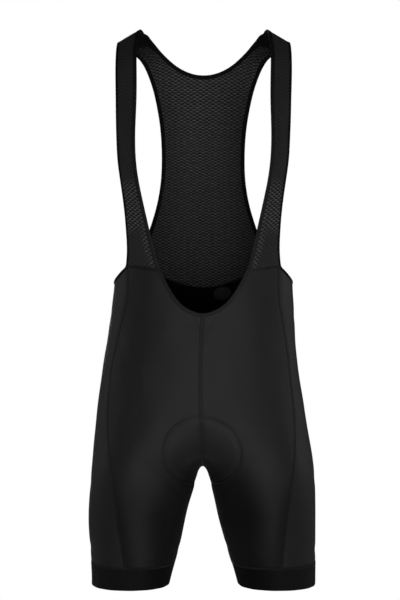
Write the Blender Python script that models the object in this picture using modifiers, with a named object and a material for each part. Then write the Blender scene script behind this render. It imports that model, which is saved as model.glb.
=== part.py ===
"""Cycling bib shorts, as they stand on a general figure: hollow, held up at the shoulders.

Metres. +X is the wearer's left, -Y the front, +Z up. The origin lies midway between the two
shoulder crowns, so the shorts hang below it. The cloth is a set of walls, each one lofted over
the figure between its own seams, 0.3 mm from its neighbours.
"""
import math
from collections import namedtuple

import bmesh
import bpy
import numpy as np
from mathutils import Vector


def table(columns, *rows):
    """A short table whose rows are read by column name."""
    row_type = namedtuple("Row", columns)
    return [row_type(*row) for row in rows]


# ---------------------------------------------------------------- driving dimensions
LYCRA = 0.0018  # wall of the shorts
KNIT = 0.0015  # wall of the back panel and the front straps
TRIM = 0.0026  # wall of the bindings, folded over the edge
TRIM_PROUD = 0.0004  # how far a binding stands out from the cloth beside it
BAND = 0.0022  # wall of a gripper
SEAM_GAP = 0.0003
NECK_BAND_WIDTH = 0.0065
BACK_NECK_WIDTH = 0.0045
ARMHOLE_WIDTH = 0.0040
GRIPPER_TOP = -0.8675
HEM = -0.9030
CROTCH = -0.7100  # height of the lowest point of the centre seam
CROTCH_ROUND = 0.010  # radius of the arch between the legs
PAD_EDGE = 0.0030
PAD_MIDDLE = 0.0085
LABEL_WIDTH, LABEL_HEIGHT, LABEL_WALL = 0.031, 0.023, 0.0006
LABEL_PLACE = (0.0325, -0.4260)
LABEL_GRID = (-1.0, -0.5, 0.0, 0.5, 1.0)

# The figure's sections. inner is the inner edge of one half: minus outer where the body is whole,
# past the middle where the halves part into legs.
SECTIONS = table(
    "height inner outer front back squareness",
    (-0.100, -0.172, 0.1720, -0.096, 0.088, 2.60),
    (-0.200, -0.170, 0.1700, -0.124, 0.104, 2.60),
    (-0.280, -0.163, 0.1630, -0.129, 0.100, 2.50),
    (-0.350, -0.1520, 0.1520, -0.126, 0.092, 2.40),
    (-0.410, -0.1462, 0.1462, -0.121, 0.087, 2.35),
    (-0.436, -0.1480, 0.1480, -0.120, 0.088, 2.35),
    (-0.469, -0.1518, 0.1518, -0.119, 0.093, 2.35),
    (-0.502, -0.1545, 0.1545, -0.118, 0.101, 2.35),
    (-0.535, -0.1594, 0.1594, -0.117, 0.111, 2.35),
    (-0.568, -0.1640, 0.1645, -0.115, 0.121, 2.35),
    (-0.601, -0.1480, 0.1692, -0.112, 0.128, 2.35),
    (-0.634, -0.1060, 0.1738, -0.108, 0.130, 2.30),
    (-0.667, -0.0520, 0.1784, -0.103, 0.126, 2.25),
    (-0.690, -0.0120, 0.1812, -0.099, 0.120, 2.20),
    (-0.710, 0.0100, 0.1835, -0.096, 0.114, 2.20),
    (-0.733, 0.0162, 0.1856, -0.093, 0.106, 2.15),
    (-0.766, 0.0232, 0.1871, -0.090, 0.095, 2.15),
    (-0.799, 0.0300, 0.1873, -0.087, 0.086, 2.15),
    (-0.832, 0.0384, 0.1860, -0.084, 0.078, 2.15),
    (-0.865, 0.0476, 0.1846, -0.080, 0.071, 2.15),
    (-0.910, 0.0600, 0.1838, -0.075, 0.065, 2.15),
)
WHOLE_ABOVE = -0.560  # above this the section is one oval round the middle
PARTING = (0.600, 0.690)  # drop below the shoulders over which the halves part

# The figure from the side, above the chest: depth and height along the middle of a shoulder.
CHEST_SIDE = table(
    "depth height",
    (-0.124, -0.200), (-0.110, -0.140), (-0.090, -0.090), (-0.067, -0.050), (-0.042, -0.021),
    (-0.021, -0.005),
)
BLADE_SIDE = table(
    "depth height",
    (0.021, -0.005), (0.041, -0.019), (0.061, -0.043), (0.080, -0.080), (0.096, -0.135),
    (0.104, -0.200),
)
SIDE_BELOW = (-0.270, -0.340, -0.400, -0.460, -0.520)  # heights where the side line follows SECTIONS
SHOULDER_SLOPE = 0.60  # fall of the shoulder for each metre outwards
SHOULDER_START = 0.080  # distance from the middle where the fall begins
SHOULDER_MIDDLE = 0.123
SHOULDER_REACH = (0.060, 0.210)  # how far down the side line the slope fades out

# The garment's edges on the figure.
FRONT_NECKLINE = table(  # from the crown of the shoulder to the end of the strap
    "across height",
    (0.1065, -0.0060), (0.1085, -0.0240), (0.1085, -0.0460), (0.1075, -0.0800), (0.1073, -0.1150),
    (0.1083, -0.1500), (0.1085, -0.1850), (0.1070, -0.2130), (0.1030, -0.2430), (0.0965, -0.2750),
    (0.0893, -0.3070), (0.0830, -0.3350), (0.0765, -0.3620), (0.0680, -0.3880),
)
FRONT_NECKLINE_LOWER = table(  # from the end of the strap to the middle
    "across height",
    (0.0600, -0.4040), (0.0505, -0.4205), (0.0385, -0.4365), (0.0265, -0.4465), (0.0150, -0.4522),
    (0.0060, -0.4547), (0.0, -0.4550),
)
STRAP_OUTER = table(  # row for row beside FRONT_NECKLINE
    "across height",
    (0.1430, -0.0270), (0.1430, -0.0440), (0.1426, -0.0640), (0.1418, -0.0900), (0.1410, -0.1180),
    (0.1402, -0.1500), (0.1388, -0.1820), (0.1370, -0.2100), (0.1330, -0.2400), (0.1283, -0.2720),
    (0.1247, -0.3040), (0.1228, -0.3320), (0.1222, -0.3560), (0.1240, -0.3790),
)
BACK_NECKLINE = table(  # from the shoulder seam to the middle
    "across height",
    (0.0945, 0.0060), (0.0885, 0.0000), (0.0815, -0.0075), (0.0740, -0.0160), (0.0655, -0.0245),
    (0.0555, -0.0335), (0.0440, -0.0420), (0.0295, -0.0495), (0.0150, -0.0540), (0.0, -0.0555),
)
BACK_ARMHOLE_UPPER = table(  # row for row beside BACK_NECKLINE
    "across height",
    (0.1345, -0.0215), (0.1275, -0.0225), (0.1195, -0.0245), (0.1120, -0.0285), (0.1050, -0.0360),
    (0.0985, -0.0470), (0.0925, -0.0610), (0.0870, -0.0770), (0.0825, -0.0940), (0.0788, -0.1120),
)
BACK_ARMHOLE = table(  # on down to the end of the back panel
    "across height",
    (0.0755, -0.1310), (0.0728, -0.1540), (0.0713, -0.1790), (0.0710, -0.2040), (0.0720, -0.2290),
    (0.0748, -0.2530), (0.0795, -0.2770), (0.0855, -0.2990), (0.0930, -0.3220), (0.1030, -0.3460),
    (0.1150, -0.3680),
)
BACK_SEAM_MIDDLE = -0.4156  # the back panel's lower seam, at the middle
BACK_SEAM_BOW = 0.35  # share of the way up the armhole over which the rows above it straighten
ARMHOLE_FLOOR = table(
    "share height",  # share of the way across the side panel
    (0.0, -0.3790), (0.14, -0.3910), (0.30, -0.4010), (0.47, -0.4055), (0.64, -0.4030),
    (0.82, -0.3900), (1.0, -0.3680),
)

# The seams beside the side panels.
FRONT_SEAM = table(
    "height across",
    (-0.365, 0.1208), (-0.382, 0.1211), (-0.430, 0.1222), (-0.480, 0.1320), (-0.540, 0.1430),
    (-0.620, 0.1510), (-0.700, 0.1480), (-0.760, 0.1400), (-0.820, 0.1310), (-0.910, 0.1200),
)
BACK_SEAM = table(
    "height across",
    (-0.350, 0.1060), (-0.371, 0.1123), (-0.400, 0.1180), (-0.460, 0.1240), (-0.550, 0.1360),
    (-0.630, 0.1460), (-0.700, 0.1450), (-0.800, 0.1350), (-0.910, 0.1200),
)

# Rows of the shorts, at level heights, closest together where the legs part.
JOIN = -0.4850
TOP_ROWS = (0.25, 0.50, 0.75)  # shares of the way from a panel's top edge down to JOIN
ROWS = (
    [JOIN, -0.5060, -0.5280, -0.5500, -0.5730, -0.5960, -0.6180, -0.6390, -0.6580, -0.6750]
    + [CROTCH + 0.020 * (step / 5) ** 2 for step in (5, 4, 3, 2, 1)]
    + [CROTCH]
    + [CROTCH - 0.020 * (step / 3) ** 2 for step in (1, 2, 3)]
    + [-0.7520, -0.7760, -0.8010, -0.8260, -0.8480]
)
SHOULDER_SEAM = 0.024  # behind the crown, along the side line
CROWN = table(
    "along inner outer",
    (SHOULDER_SEAM, 0.0990, 0.1395), (0.0, 0.1035, 0.1420), (-0.018, 0.1055, 0.1425),
)
MITRE_LIMIT = 0.8  # least cosine by which a trim is widened at a bend
STRAP_SHARES = (0.44, 0.68)  # columns of a strap between its trims
BACK_SHARES = (0.05, 0.13, 0.24, 0.36, 0.48, 0.61, 0.74, 0.87)
GRIPPER_COLUMNS = 32
PAD_GAP = 0.0018  # between the pad and the lycra
PAD_SHARES = (0.0, 0.08, 0.17, 0.30, 0.48, 0.72, 1.0)
PAD_THINNING = (3, 0.45)  # rows at each end, and share at the outline, over which the pad thins
PAD_FRONT = table(
    "middle outline reach",  # height at the middle, height at the outline, width of the half row
    (-0.6220, -0.6225, 0.012), (-0.6300, -0.6320, 0.036), (-0.6440, -0.6490, 0.056),
    (-0.6620, -0.6720, 0.066), (-0.6800, -0.6960, 0.067), (-0.6960, -0.7200, 0.054),
    (-0.7060, -0.7370, 0.028), (-0.7091, -0.7415, 0.014),
)
PAD_MIDDLE_ROW = table("middle outline reach", (CROTCH, -0.7430, 0.0))
PAD_BACK = table(
    "middle outline reach",
    (-0.7091, -0.7415, 0.017), (-0.7060, -0.7370, 0.034), (-0.6960, -0.7200, 0.066),
    (-0.6800, -0.6980, 0.084), (-0.6600, -0.6740, 0.088), (-0.6400, -0.6500, 0.080),
    (-0.6200, -0.6260, 0.062), (-0.6060, -0.6090, 0.034), (-0.6000, -0.6005, 0.012),
)
LEAN = table(  # the worn shorts lean a little to the wearer's right
    "height sideways",
    (-0.920, 0.0), (-0.860, -0.0008), (-0.800, -0.0025), (-0.750, -0.0020), (-0.700, -0.0020),
    (-0.650, -0.0036), (-0.600, -0.0050), (-0.550, -0.0055), (-0.500, -0.0036), (-0.440, -0.0012),
    (-0.400, -0.0005), (-0.350, -0.0007), (-0.250, -0.0010), (-0.150, -0.0006), (-0.050, 0.0),
    (0.050, 0.0),
)
HALF_TURN = math.pi


# ---------------------------------------------------------------- smooth tables
def smooth(rows, column):
    """A smooth curve of one column through a table's rows, read by the first column."""
    rows = sorted(rows)
    wanted = rows[0]._fields.index(column)
    place = np.array([row[0] for row in rows])
    value = np.array([row[wanted] for row in rows])
    slope = np.gradient(value, place)

    def at(where):
        where = min(max(where, place[0]), place[-1])
        i = int(min(max(np.searchsorted(place, where) - 1, 0), len(place) - 2))
        step = place[i + 1] - place[i]
        s = (where - place[i]) / step
        return (
            (2 * s**3 - 3 * s**2 + 1) * value[i] + (s**3 - 2 * s**2 + s) * step * slope[i]
            + (3 * s**2 - 2 * s**3) * value[i + 1] + (s**3 - s**2) * step * slope[i + 1]
        )

    return at


INNER, OUTER = smooth(SECTIONS, "inner"), smooth(SECTIONS, "outer")
FRONT, BACK = smooth(SECTIONS, "front"), smooth(SECTIONS, "back")
SQUARENESS = smooth(SECTIONS, "squareness")
FRONT_SEAM_AT, BACK_SEAM_AT = smooth(FRONT_SEAM, "across"), smooth(BACK_SEAM, "across")


def ease(value, low, high):
    s = min(max((value - low) / (high - low), 0.0), 1.0)
    return s * s * (3 - 2 * s)


# ---------------------------------------------------------------- the figure below the chest
def parting(height):
    """How far the centre line is rounded: nothing on the belly, the arch's radius at the legs."""
    return CROTCH_ROUND * ease(-height, *PARTING)


def oval(height):
    """Centre and half sizes of one half's section, across and deep."""
    inner, outer, front, back = INNER(height), OUTER(height), FRONT(height), BACK(height)
    if height > WHOLE_ABOVE:
        inner = -outer
    across_middle, half_width = (inner + outer) / 2, (outer - inner) / 2
    depth_middle, half_depth = (front + back) / 2, (back - front) / 2
    return across_middle, half_width, depth_middle, half_depth, SQUARENESS(height)


def half_loop(height, samples=260):
    """One half's section at a height, from the centre front or inseam round to the centre back."""
    middle, half_width, depth_middle, half_depth, power = oval(height)
    crease = parting(height)
    start = min(max((crease - middle) / half_width, -1.0), 0.0)
    first = -math.asin(abs(start) ** (power / 2))
    turn = np.linspace(first, HALF_TURN - first, samples)
    across = middle + half_width * np.sign(np.sin(turn)) * np.abs(np.sin(turn)) ** (2 / power)
    deep = depth_middle - half_depth * np.sign(np.cos(turn)) * np.abs(np.cos(turn)) ** (2 / power)
    across = np.sqrt(np.maximum(across**2 - crease**2, 0.0))
    run = np.concatenate(([0.0], np.cumsum(np.hypot(np.diff(across), np.diff(deep)))))
    return across, deep, run


def seam_runs(height):
    """Distance round the half section to the front and the back seam, and its whole length."""
    across, deep, run = half_loop(height)
    widest = int(np.argmax(across))
    front = np.interp(FRONT_SEAM_AT(height), across[: widest + 1], run[: widest + 1])
    back = np.interp(-BACK_SEAM_AT(height), -across[widest:], run[widest:])
    return front, back, run[-1]


def on_loop(height, distance):
    across, deep, run = half_loop(height)
    return Vector((np.interp(distance, run, across), np.interp(distance, run, deep), height))


def outside(point):
    """How far out of the figure a point lies, on a scale that is 1 on its surface."""
    middle, half_width, depth_middle, half_depth, power = oval(point.z)
    across = abs(math.hypot(point.x, parting(point.z)) - middle) / half_width
    deep = abs(point.y - depth_middle) / half_depth
    return across**power + deep**power


def normal_below(point):
    step = 0.0002
    axes = (Vector((step, 0, 0)), Vector((0, step, 0)), Vector((0, 0, step)))
    return Vector([outside(point + axis) - outside(point - axis) for axis in axes]).normalized()


# ---------------------------------------------------------------- the figure over the shoulders
def side_line():
    """The figure's line from the side, front to back over the crown, read by its length."""
    front = [(FRONT(height), height) for height in SIDE_BELOW[::-1]]
    back = [(BACK(height), height) for height in SIDE_BELOW]
    points = front + list(CHEST_SIDE) + [(0.0, 0.0)] + list(BLADE_SIDE) + back
    length = [0.0]
    for a, b in zip(points, points[1:]):
        length.append(length[-1] + math.dist(a, b))
    crown = length[len(front) + len(CHEST_SIDE)]
    rows = table("along depth height", *((place - crown, *point) for place, point in zip(length, points)))
    return smooth(rows, "depth"), smooth(rows, "height"), rows[0].along, rows[-1].along


SIDE_DEPTH, SIDE_HEIGHT, SIDE_FIRST, SIDE_LAST = side_line()


def shoulder(across, along):
    """The figure's surface: across from the middle, along the side line from the crown."""
    fade = 1.0 - ease(abs(along), *SHOULDER_REACH)
    rise = SHOULDER_SLOPE * (SHOULDER_MIDDLE - max(across, SHOULDER_START))
    height = SIDE_HEIGHT(along) + rise * fade
    depth = SIDE_DEPTH(along)
    _, half_width, _, half_depth, power = oval(min(SIDE_HEIGHT(along), SECTIONS[0].height))
    share = min(across / half_width, 1.0)
    pull = half_depth * (1 - (1 - share**power) ** (1 / power)) * (1.0 - fade)
    return Vector((across, depth + (pull if along < 0 else -pull), height))


def along_at(across, height, back):
    """Where on the side line the surface has this height."""
    low, high = (0.0, SIDE_LAST) if back else (0.0, SIDE_FIRST)
    for _ in range(40):
        middle = (low + high) / 2
        if shoulder(across, middle).z > height:
            low = middle
        else:
            high = middle
    return (low + high) / 2


def normal_above(across, along):
    step = 0.0005
    sideways = shoulder(across + step, along) - shoulder(across - step, along)
    onwards = shoulder(across, along + step) - shoulder(across, along - step)
    return sideways.cross(onwards).normalized()


class Spot:
    """A point of the surface with its outward normal."""

    def __init__(self, point, normal):
        self.point, self.normal = point, normal

    def at(self, depth):
        return self.point - self.normal * depth


def upper_spot(across, along):
    return Spot(shoulder(across, along), normal_above(max(across, 0.0006), along))


def edge_spot(across, height, back):
    return upper_spot(across, along_at(across, height, back))


def lower_spot(height, distance):
    point = on_loop(height, distance)
    return Spot(point, normal_below(point))


def panel_spot(panel, height, share):
    """A spot of the front, side or back panel, share of the way across it."""
    front, back, whole = seam_runs(height)
    ends = {"front": (0.0, front), "side": (front, back), "back": (back, whole)}[panel]
    low, high = ends[0] + SEAM_GAP / 2, ends[1] - SEAM_GAP / 2
    spot = lower_spot(height, low + (high - low) * share)
    if (panel == "front" and share == 0.0) or (panel == "back" and share == 1.0):
        if height >= CROTCH:
            spot = lower_spot(height, 0.0 if panel == "front" else whole)
            spot.normal.x = 0.0
            spot.normal.normalize()
            spot.point.x = SEAM_GAP / 2
            if height == CROTCH:  # front and back panels meet here
                spot.point.y += -SEAM_GAP if panel == "front" else SEAM_GAP
    return spot


# ---------------------------------------------------------------- edges
def run_of(spots, closed=False):
    """For each spot of an edge, the direction across the cloth, square to the edge."""
    count = len(spots)
    across = []
    for i, spot in enumerate(spots):
        before = spots[i - 1] if closed or i else spot
        after = spots[(i + 1) % count] if closed or i + 1 < count else spot
        first = spot.point - before.point
        second = after.point - spot.point
        ways = [way.normalized() for way in (first, second) if way.length > 1e-7]
        tangent = sum(ways, Vector()).normalized()
        side = spot.normal.cross(tangent).normalized()
        bend = max(tangent.dot(ways[0]), MITRE_LIMIT)
        across.append(side / bend)
    return across


def inset(spots, sideways, distance):
    """The edge moved sideways over the cloth."""
    return [Spot(spot.point + way * distance, spot.normal) for spot, way in zip(spots, sideways)]


# ---------------------------------------------------------------- solids
def material(name, colour, roughness):
    made = bpy.data.materials.new(name)
    made.use_nodes = True
    shader = made.node_tree.nodes["Principled BSDF"]
    shader.inputs["Base Color"].default_value = (*colour, 1.0)
    shader.inputs["Roughness"].default_value = roughness
    shader.inputs["Metallic"].default_value = 0.0
    return made


def add(name, mesh, cloth, garment):
    mesh.materials.append(cloth)
    mesh.shade_smooth()
    mesh.set_sharp_from_angle(angle=math.radians(50))
    made = bpy.data.objects.new(name, mesh)
    garment.objects.link(made)
    return made


def wall(name, rows, wall_depth, proud=0.0, side=1, ring=False, middle_rows=0, open_first_row=False):
    """A closed wall from a grid of spots: its outer face, its inner face and its rim.

    wall_depth is a thickness or a function of (row, column). A ring closes on itself along its
    columns. The first middle_rows rows start at the middle plane, where Mirror completes them.
    """
    count, width = len(rows), len(rows[0])
    deep = wall_depth if callable(wall_depth) else (lambda row, column: wall_depth)
    here = rows[count // 2][width // 2]
    along = here.point - rows[count // 2 - 1][width // 2].point
    across = here.point - rows[count // 2][width // 2 - 1].point
    outwards = along.cross(across).dot(here.normal) * side > 0
    bm = bmesh.new()

    def corner(point):
        return bm.verts.new((point.x * side, point.y, point.z))

    outer = [[corner(spot.at(-proud)) for spot in row] for row in rows]
    inner = []
    for r, row in enumerate(rows):
        inner.append([corner(spot.at(deep(r, c) - proud)) for c, spot in enumerate(row)])

    def face(*corners):
        bm.faces.new(corners if outwards else corners[::-1])

    last = width if ring else width - 1
    for r in range(count - 1):
        for c in range(last):
            d = (c + 1) % width
            face(outer[r][c], outer[r + 1][c], outer[r + 1][d], outer[r][d])
            face(inner[r][c], inner[r][d], inner[r + 1][d], inner[r + 1][c])
        if not ring:
            if r + 1 >= middle_rows:
                face(outer[r][0], inner[r][0], inner[r + 1][0], outer[r + 1][0])
            face(outer[r][-1], outer[r + 1][-1], inner[r + 1][-1], inner[r][-1])
    for c in range(last):
        d = (c + 1) % width
        if not open_first_row:
            face(outer[0][c], outer[0][d], inner[0][d], inner[0][c])
        face(outer[-1][c], inner[-1][c], inner[-1][d], outer[-1][d])
    mesh = bpy.data.meshes.new(name)
    bm.to_mesh(mesh)
    bm.free()
    return mesh


def mirrored(made):
    """Completes a half that is open at the middle plane."""
    mirror = made.modifiers.new("Mirror", "MIRROR")
    mirror.use_axis = (True, False, False)
    mirror.use_clip = True
    mirror.merge_threshold = 0.00005
    return made


# ---------------------------------------------------------------- the garment's edges
def neck_edge():
    """Front neckline, from the shoulder seam over the crown and down to the middle."""
    spots = [upper_spot(inner, along) for along, inner, _ in CROWN]
    spots += [edge_spot(across, height, False) for across, height in FRONT_NECKLINE + FRONT_NECKLINE_LOWER]
    beyond = spots[-2]
    mirror_spot = Spot(Vector((-beyond.point.x, beyond.point.y, beyond.point.z)), beyond.normal)
    sideways = run_of(spots + [mirror_spot])[:-1]
    return finish_at_middle(spots, sideways)


def back_neck_edge():
    """Back neckline, from the middle out to the shoulder seam."""
    spots = [edge_spot(across, height, True) for across, height in BACK_NECKLINE[::-1]]
    spots.append(upper_spot(CROWN[0].inner, CROWN[0].along))
    beyond = spots[1]
    mirror_spot = Spot(Vector((-beyond.point.x, beyond.point.y, beyond.point.z)), beyond.normal)
    sideways = run_of([mirror_spot] + spots)[1:]
    spots, sideways = finish_at_middle(spots[::-1], sideways[::-1])
    return spots[::-1], sideways[::-1]


def finish_at_middle(spots, sideways):
    """Keeps the last spot of an edge, and its direction, in the middle plane."""
    for vector in (spots[-1].point, spots[-1].normal, sideways[-1]):
        vector.x = 0.0
    spots[-1].normal.normalize()
    return spots, sideways


def armhole_edge():
    """Round the armhole: down the back, along its floor to the front, up the strap, over the crown."""
    spots = [upper_spot(CROWN[0].outer, CROWN[0].along)]
    spots += [edge_spot(across, height, True) for across, height in BACK_ARMHOLE_UPPER + BACK_ARMHOLE]
    spots += [panel_spot("side", height, share) for share, height in ARMHOLE_FLOOR[-2:0:-1]]
    spots += [edge_spot(across, height, False) for across, height in STRAP_OUTER[::-1]]
    spots += [upper_spot(outer, along) for along, _, outer in CROWN[:0:-1]]
    return spots, run_of(spots, closed=True)


def nudged(spot, offset):
    return Spot(spot.point + offset, spot.normal)


def seam_spot(start, distance):
    """A spot of the shoulder seam, a distance outwards from one of its ends."""
    along = CROWN[0].along
    fall = math.hypot(1.0, SHOULDER_SLOPE * (1.0 - ease(along, *SHOULDER_REACH)))
    return upper_spot(start + distance / fall, along)


class Edges:
    """Every edge of the garment, and the cloth's own borders beside their trims."""

    def __init__(self):
        self.neck, neck_side = neck_edge()
        self.neck_seat = inset(self.neck, neck_side, NECK_BAND_WIDTH)
        self.neck_border = inset(self.neck, neck_side, NECK_BAND_WIDTH + SEAM_GAP)
        self.back_neck, back_side = back_neck_edge()
        self.back_neck_seat = inset(self.back_neck, back_side, BACK_NECK_WIDTH)
        self.back_neck_border = inset(self.back_neck, back_side, BACK_NECK_WIDTH + SEAM_GAP)
        self.armhole, arm_side = armhole_edge()
        self.armhole_seat = inset(self.armhole, arm_side, ARMHOLE_WIDTH)
        border = inset(self.armhole, arm_side, ARMHOLE_WIDTH + SEAM_GAP)
        inner, outer = CROWN[0].inner, CROWN[0].outer
        self.neck_seat[0] = seam_spot(inner, NECK_BAND_WIDTH)
        self.neck_border[0] = seam_spot(inner, NECK_BAND_WIDTH + SEAM_GAP)
        self.back_neck_seat[-1] = seam_spot(inner, BACK_NECK_WIDTH)
        self.back_neck_border[-1] = seam_spot(inner, BACK_NECK_WIDTH + SEAM_GAP)
        self.armhole_seat[0] = seam_spot(outer, -ARMHOLE_WIDTH)
        border[0] = seam_spot(outer, -ARMHOLE_WIDTH - SEAM_GAP)
        down = 1 + len(BACK_ARMHOLE_UPPER) + len(BACK_ARMHOLE)
        level = down + len(ARMHOLE_FLOOR) - 2
        self.back_armhole_border = border[:down][::-1]  # from the side up to the shoulder seam
        self.floor_border = border[down - 1 : level + 1][::-1]  # from the front to the back
        self.strap_armhole_border = [border[0]] + border[:level - 1 : -1]  # from the shoulder seam down


# ---------------------------------------------------------------- the pieces
def strap_rows(edges):
    """A front strap, from the shoulder seam to its lower end, inner edge to outer edge."""
    spans = [((inner, along), (outer, along)) for along, inner, outer in CROWN]
    for (inner, low), (outer, high) in zip(FRONT_NECKLINE, STRAP_OUTER):
        spans.append(((inner, along_at(inner, low, False)), (outer, along_at(outer, high, False))))
    rows = []
    for k, (start, end) in enumerate(spans):
        between = [
            upper_spot(start[0] + (end[0] - start[0]) * share, start[1] + (end[1] - start[1]) * share)
            for share in STRAP_SHARES
        ]
        rows.append([edges.neck_border[k]] + between + [edges.strap_armhole_border[k]])
    rows[0] = [nudged(spot, Vector((0, -SEAM_GAP / 2, 0))) for spot in rows[0]]
    return rows


def bib_back_rows(edges):
    """Half the back panel, from its lower seam to the shoulder seam, middle to armhole."""
    lower = len(BACK_ARMHOLE)
    neck_bottom = edges.back_neck_border[0].point.z
    rows = []
    for k, (across, height) in enumerate(BACK_ARMHOLE[::-1]):
        middle_height = BACK_SEAM_MIDDLE + (neck_bottom - BACK_SEAM_MIDDLE) * k / lower
        bow = ease(k / lower, 0.0, BACK_SEAM_BOW)
        rows.append(back_row(0.0, middle_height, across, height, 2.0 - bow))
    for (inner, low), (outer, high) in zip(BACK_NECKLINE[::-1], BACK_ARMHOLE_UPPER[::-1]):
        rows.append(back_row(inner, low, outer, high, 1.0))
    first = seam_spot(CROWN[0].inner, BACK_NECK_WIDTH).point.x
    last = seam_spot(CROWN[0].outer, -ARMHOLE_WIDTH).point.x
    shares = (0.0, *BACK_SHARES, 1.0)
    rows.append([upper_spot(first + (last - first) * share, CROWN[0].along) for share in shares])
    for k, row in enumerate(rows):
        row[-1] = edges.back_armhole_border[k]
        if k >= lower:
            row[0] = edges.back_neck_border[k - lower]
    for k in range(lower):
        row = rows[k]
        row[0].point.x = row[0].normal.x = 0.0
        row[0].normal.normalize()
    rows[0] = [nudged(spot, Vector((0, 0, SEAM_GAP / 2))) for spot in rows[0]]
    rows[-1] = [nudged(spot, Vector((0, SEAM_GAP / 2, 0))) for spot in rows[-1]]
    return rows


def back_row(inner, low, outer, high, power):
    """A row of the back panel between its trims, whose height follows a power of its share."""
    width = math.hypot(outer - inner, high - low)
    first = BACK_NECK_WIDTH / width if inner > 0 or power == 1.0 else 0.0
    last = 1.0 - ARMHOLE_WIDTH / width
    spots = []
    for part in (0.0, *BACK_SHARES, 1.0):
        share = first + (last - first) * part
        across = inner + (outer - inner) * share
        spots.append(edge_spot(across, low + (high - low) * share**power, True))
    return spots


def column_rows(tops, panel, shares):
    """A panel's rows from its top edge down to the gripper, each column starting at its own top."""
    rows = [tops]
    for part in TOP_ROWS:
        heights = [top.point.z + (JOIN - top.point.z) * part for top in tops]
        rows.append([panel_spot(panel, height, share) for height, share in zip(heights, shares)])
    for height in ROWS + [GRIPPER_TOP]:
        rows.append([panel_spot(panel, height, share) for share in shares])
    return rows


def front_rows(edges, strap_end):
    """A front panel, middle to seam: its top edge follows the neckline, then the strap's end."""
    lower = len(FRONT_NECKLINE_LOWER)
    tops = edges.neck_border[-lower:][::-1]
    tops += [nudged(spot, Vector((0, 0, -SEAM_GAP))) for spot in strap_end]
    tops[0] = Spot(Vector((SEAM_GAP / 2, *tops[0].point.yz)), tops[0].normal)
    shares = []
    for top in tops:
        across, _, run = half_loop(top.point.z)
        widest = int(np.argmax(across))
        distance = np.interp(top.point.x, across[: widest + 1], run[: widest + 1])
        shares.append(float(distance) / seam_runs(top.point.z)[0])
    shares[0], shares[-1] = 0.0, 1.0
    tops[-1] = panel_spot("front", tops[-1].point.z, 1.0)
    return column_rows(tops, "front", shares)


def side_rows(edges, front_top):
    """A side panel, front seam to back seam, under the armhole."""
    shares = [share for share, _ in ARMHOLE_FLOOR]
    tops = list(edges.floor_border)
    tops[0] = panel_spot("side", front_top, 0.0)
    tops[-1] = panel_spot("side", tops[-1].point.z, 1.0)
    return column_rows(tops, "side", shares)


def back_rows(edges, bib_bottom):
    """A back panel, side seam to middle, under the back panel's lower seam."""
    tops = [nudged(spot, Vector((0, 0, -SEAM_GAP))) for spot in bib_bottom[::-1]]
    shares = []
    for top in tops:
        across, _, run = half_loop(top.point.z)
        widest = int(np.argmax(across))
        distance = np.interp(-top.point.x, -across[widest:], run[widest:])
        _, low, whole = seam_runs(top.point.z)
        shares.append((float(distance) - low) / (whole - low))
    shares[0], shares[-1] = 0.0, 1.0
    tops[0] = panel_spot("back", tops[0].point.z, 0.0)
    tops[-1] = Spot(Vector((SEAM_GAP / 2, *tops[-1].point.yz)), tops[-1].normal)
    return column_rows(tops, "back", shares)


def gripper_rows():
    rows = []
    for height in (GRIPPER_TOP - SEAM_GAP, (GRIPPER_TOP + HEM) / 2, HEM):
        whole = half_loop(height)[2][-1]
        rows.append([lower_spot(height, whole * k / GRIPPER_COLUMNS) for k in range(GRIPPER_COLUMNS)])
    return rows


def pad_rows():
    """Half the seat pad, front to back, middle to outline."""
    rows = []
    for part, back in ((PAD_FRONT, False), (PAD_MIDDLE_ROW, False), (PAD_BACK, True)):
        for middle, outline, reach in part:
            row = []
            for share in PAD_SHARES:
                height = middle + (outline - middle) * share
                whole = half_loop(height)[2][-1]
                row.append(lower_spot(height, whole - reach * share if back else reach * share))
            row[0].point.x = row[0].normal.x = 0.0
            row[0].normal.normalize()
            rows.append(row)
    return rows


def pad_depth(count):
    """The pad's thickness: full in the middle, thin at its outline."""

    def at(row, column):
        along = min(row, count - 1 - row) / PAD_THINNING[0]
        out = (1.0 - PAD_SHARES[column]) / PAD_THINNING[1]
        return PAD_EDGE + (PAD_MIDDLE - PAD_EDGE) * ease(min(along, out), 0.0, 1.0)

    return at


def label_rows():
    """An oval on the inside of the back waist: a square grid drawn in to an oval."""
    across_middle, height_middle = LABEL_PLACE
    rows = []
    for v in LABEL_GRID:
        row = []
        for u in LABEL_GRID:
            across = across_middle + LABEL_WIDTH / 2 * u * math.sqrt(1 - v * v / 2)
            height = height_middle + LABEL_HEIGHT / 2 * v * math.sqrt(1 - u * u / 2)
            loop_across, _, run = half_loop(height)
            widest = int(np.argmax(loop_across))
            distance = np.interp(-across, -loop_across[widest:], run[widest:])
            row.append(lower_spot(height, float(distance)))
        rows.append(row)
    return rows


def lean(garment):
    """Shifts every piece sideways by its height's lean, and makes its mirrored half plain mesh."""
    shift = smooth(LEAN, "sideways")
    graph = bpy.context.evaluated_depsgraph_get()
    for piece in garment.objects:
        if piece.modifiers:
            whole = bpy.data.meshes.new_from_object(piece.evaluated_get(graph))
            piece.modifiers.clear()
            piece.data = whole
        for vertex in piece.data.vertices:
            vertex.co.x += shift(vertex.co.z)


def sunk(rows, depth):
    return [[Spot(spot.at(depth), spot.normal) for spot in row] for row in rows]


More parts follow.
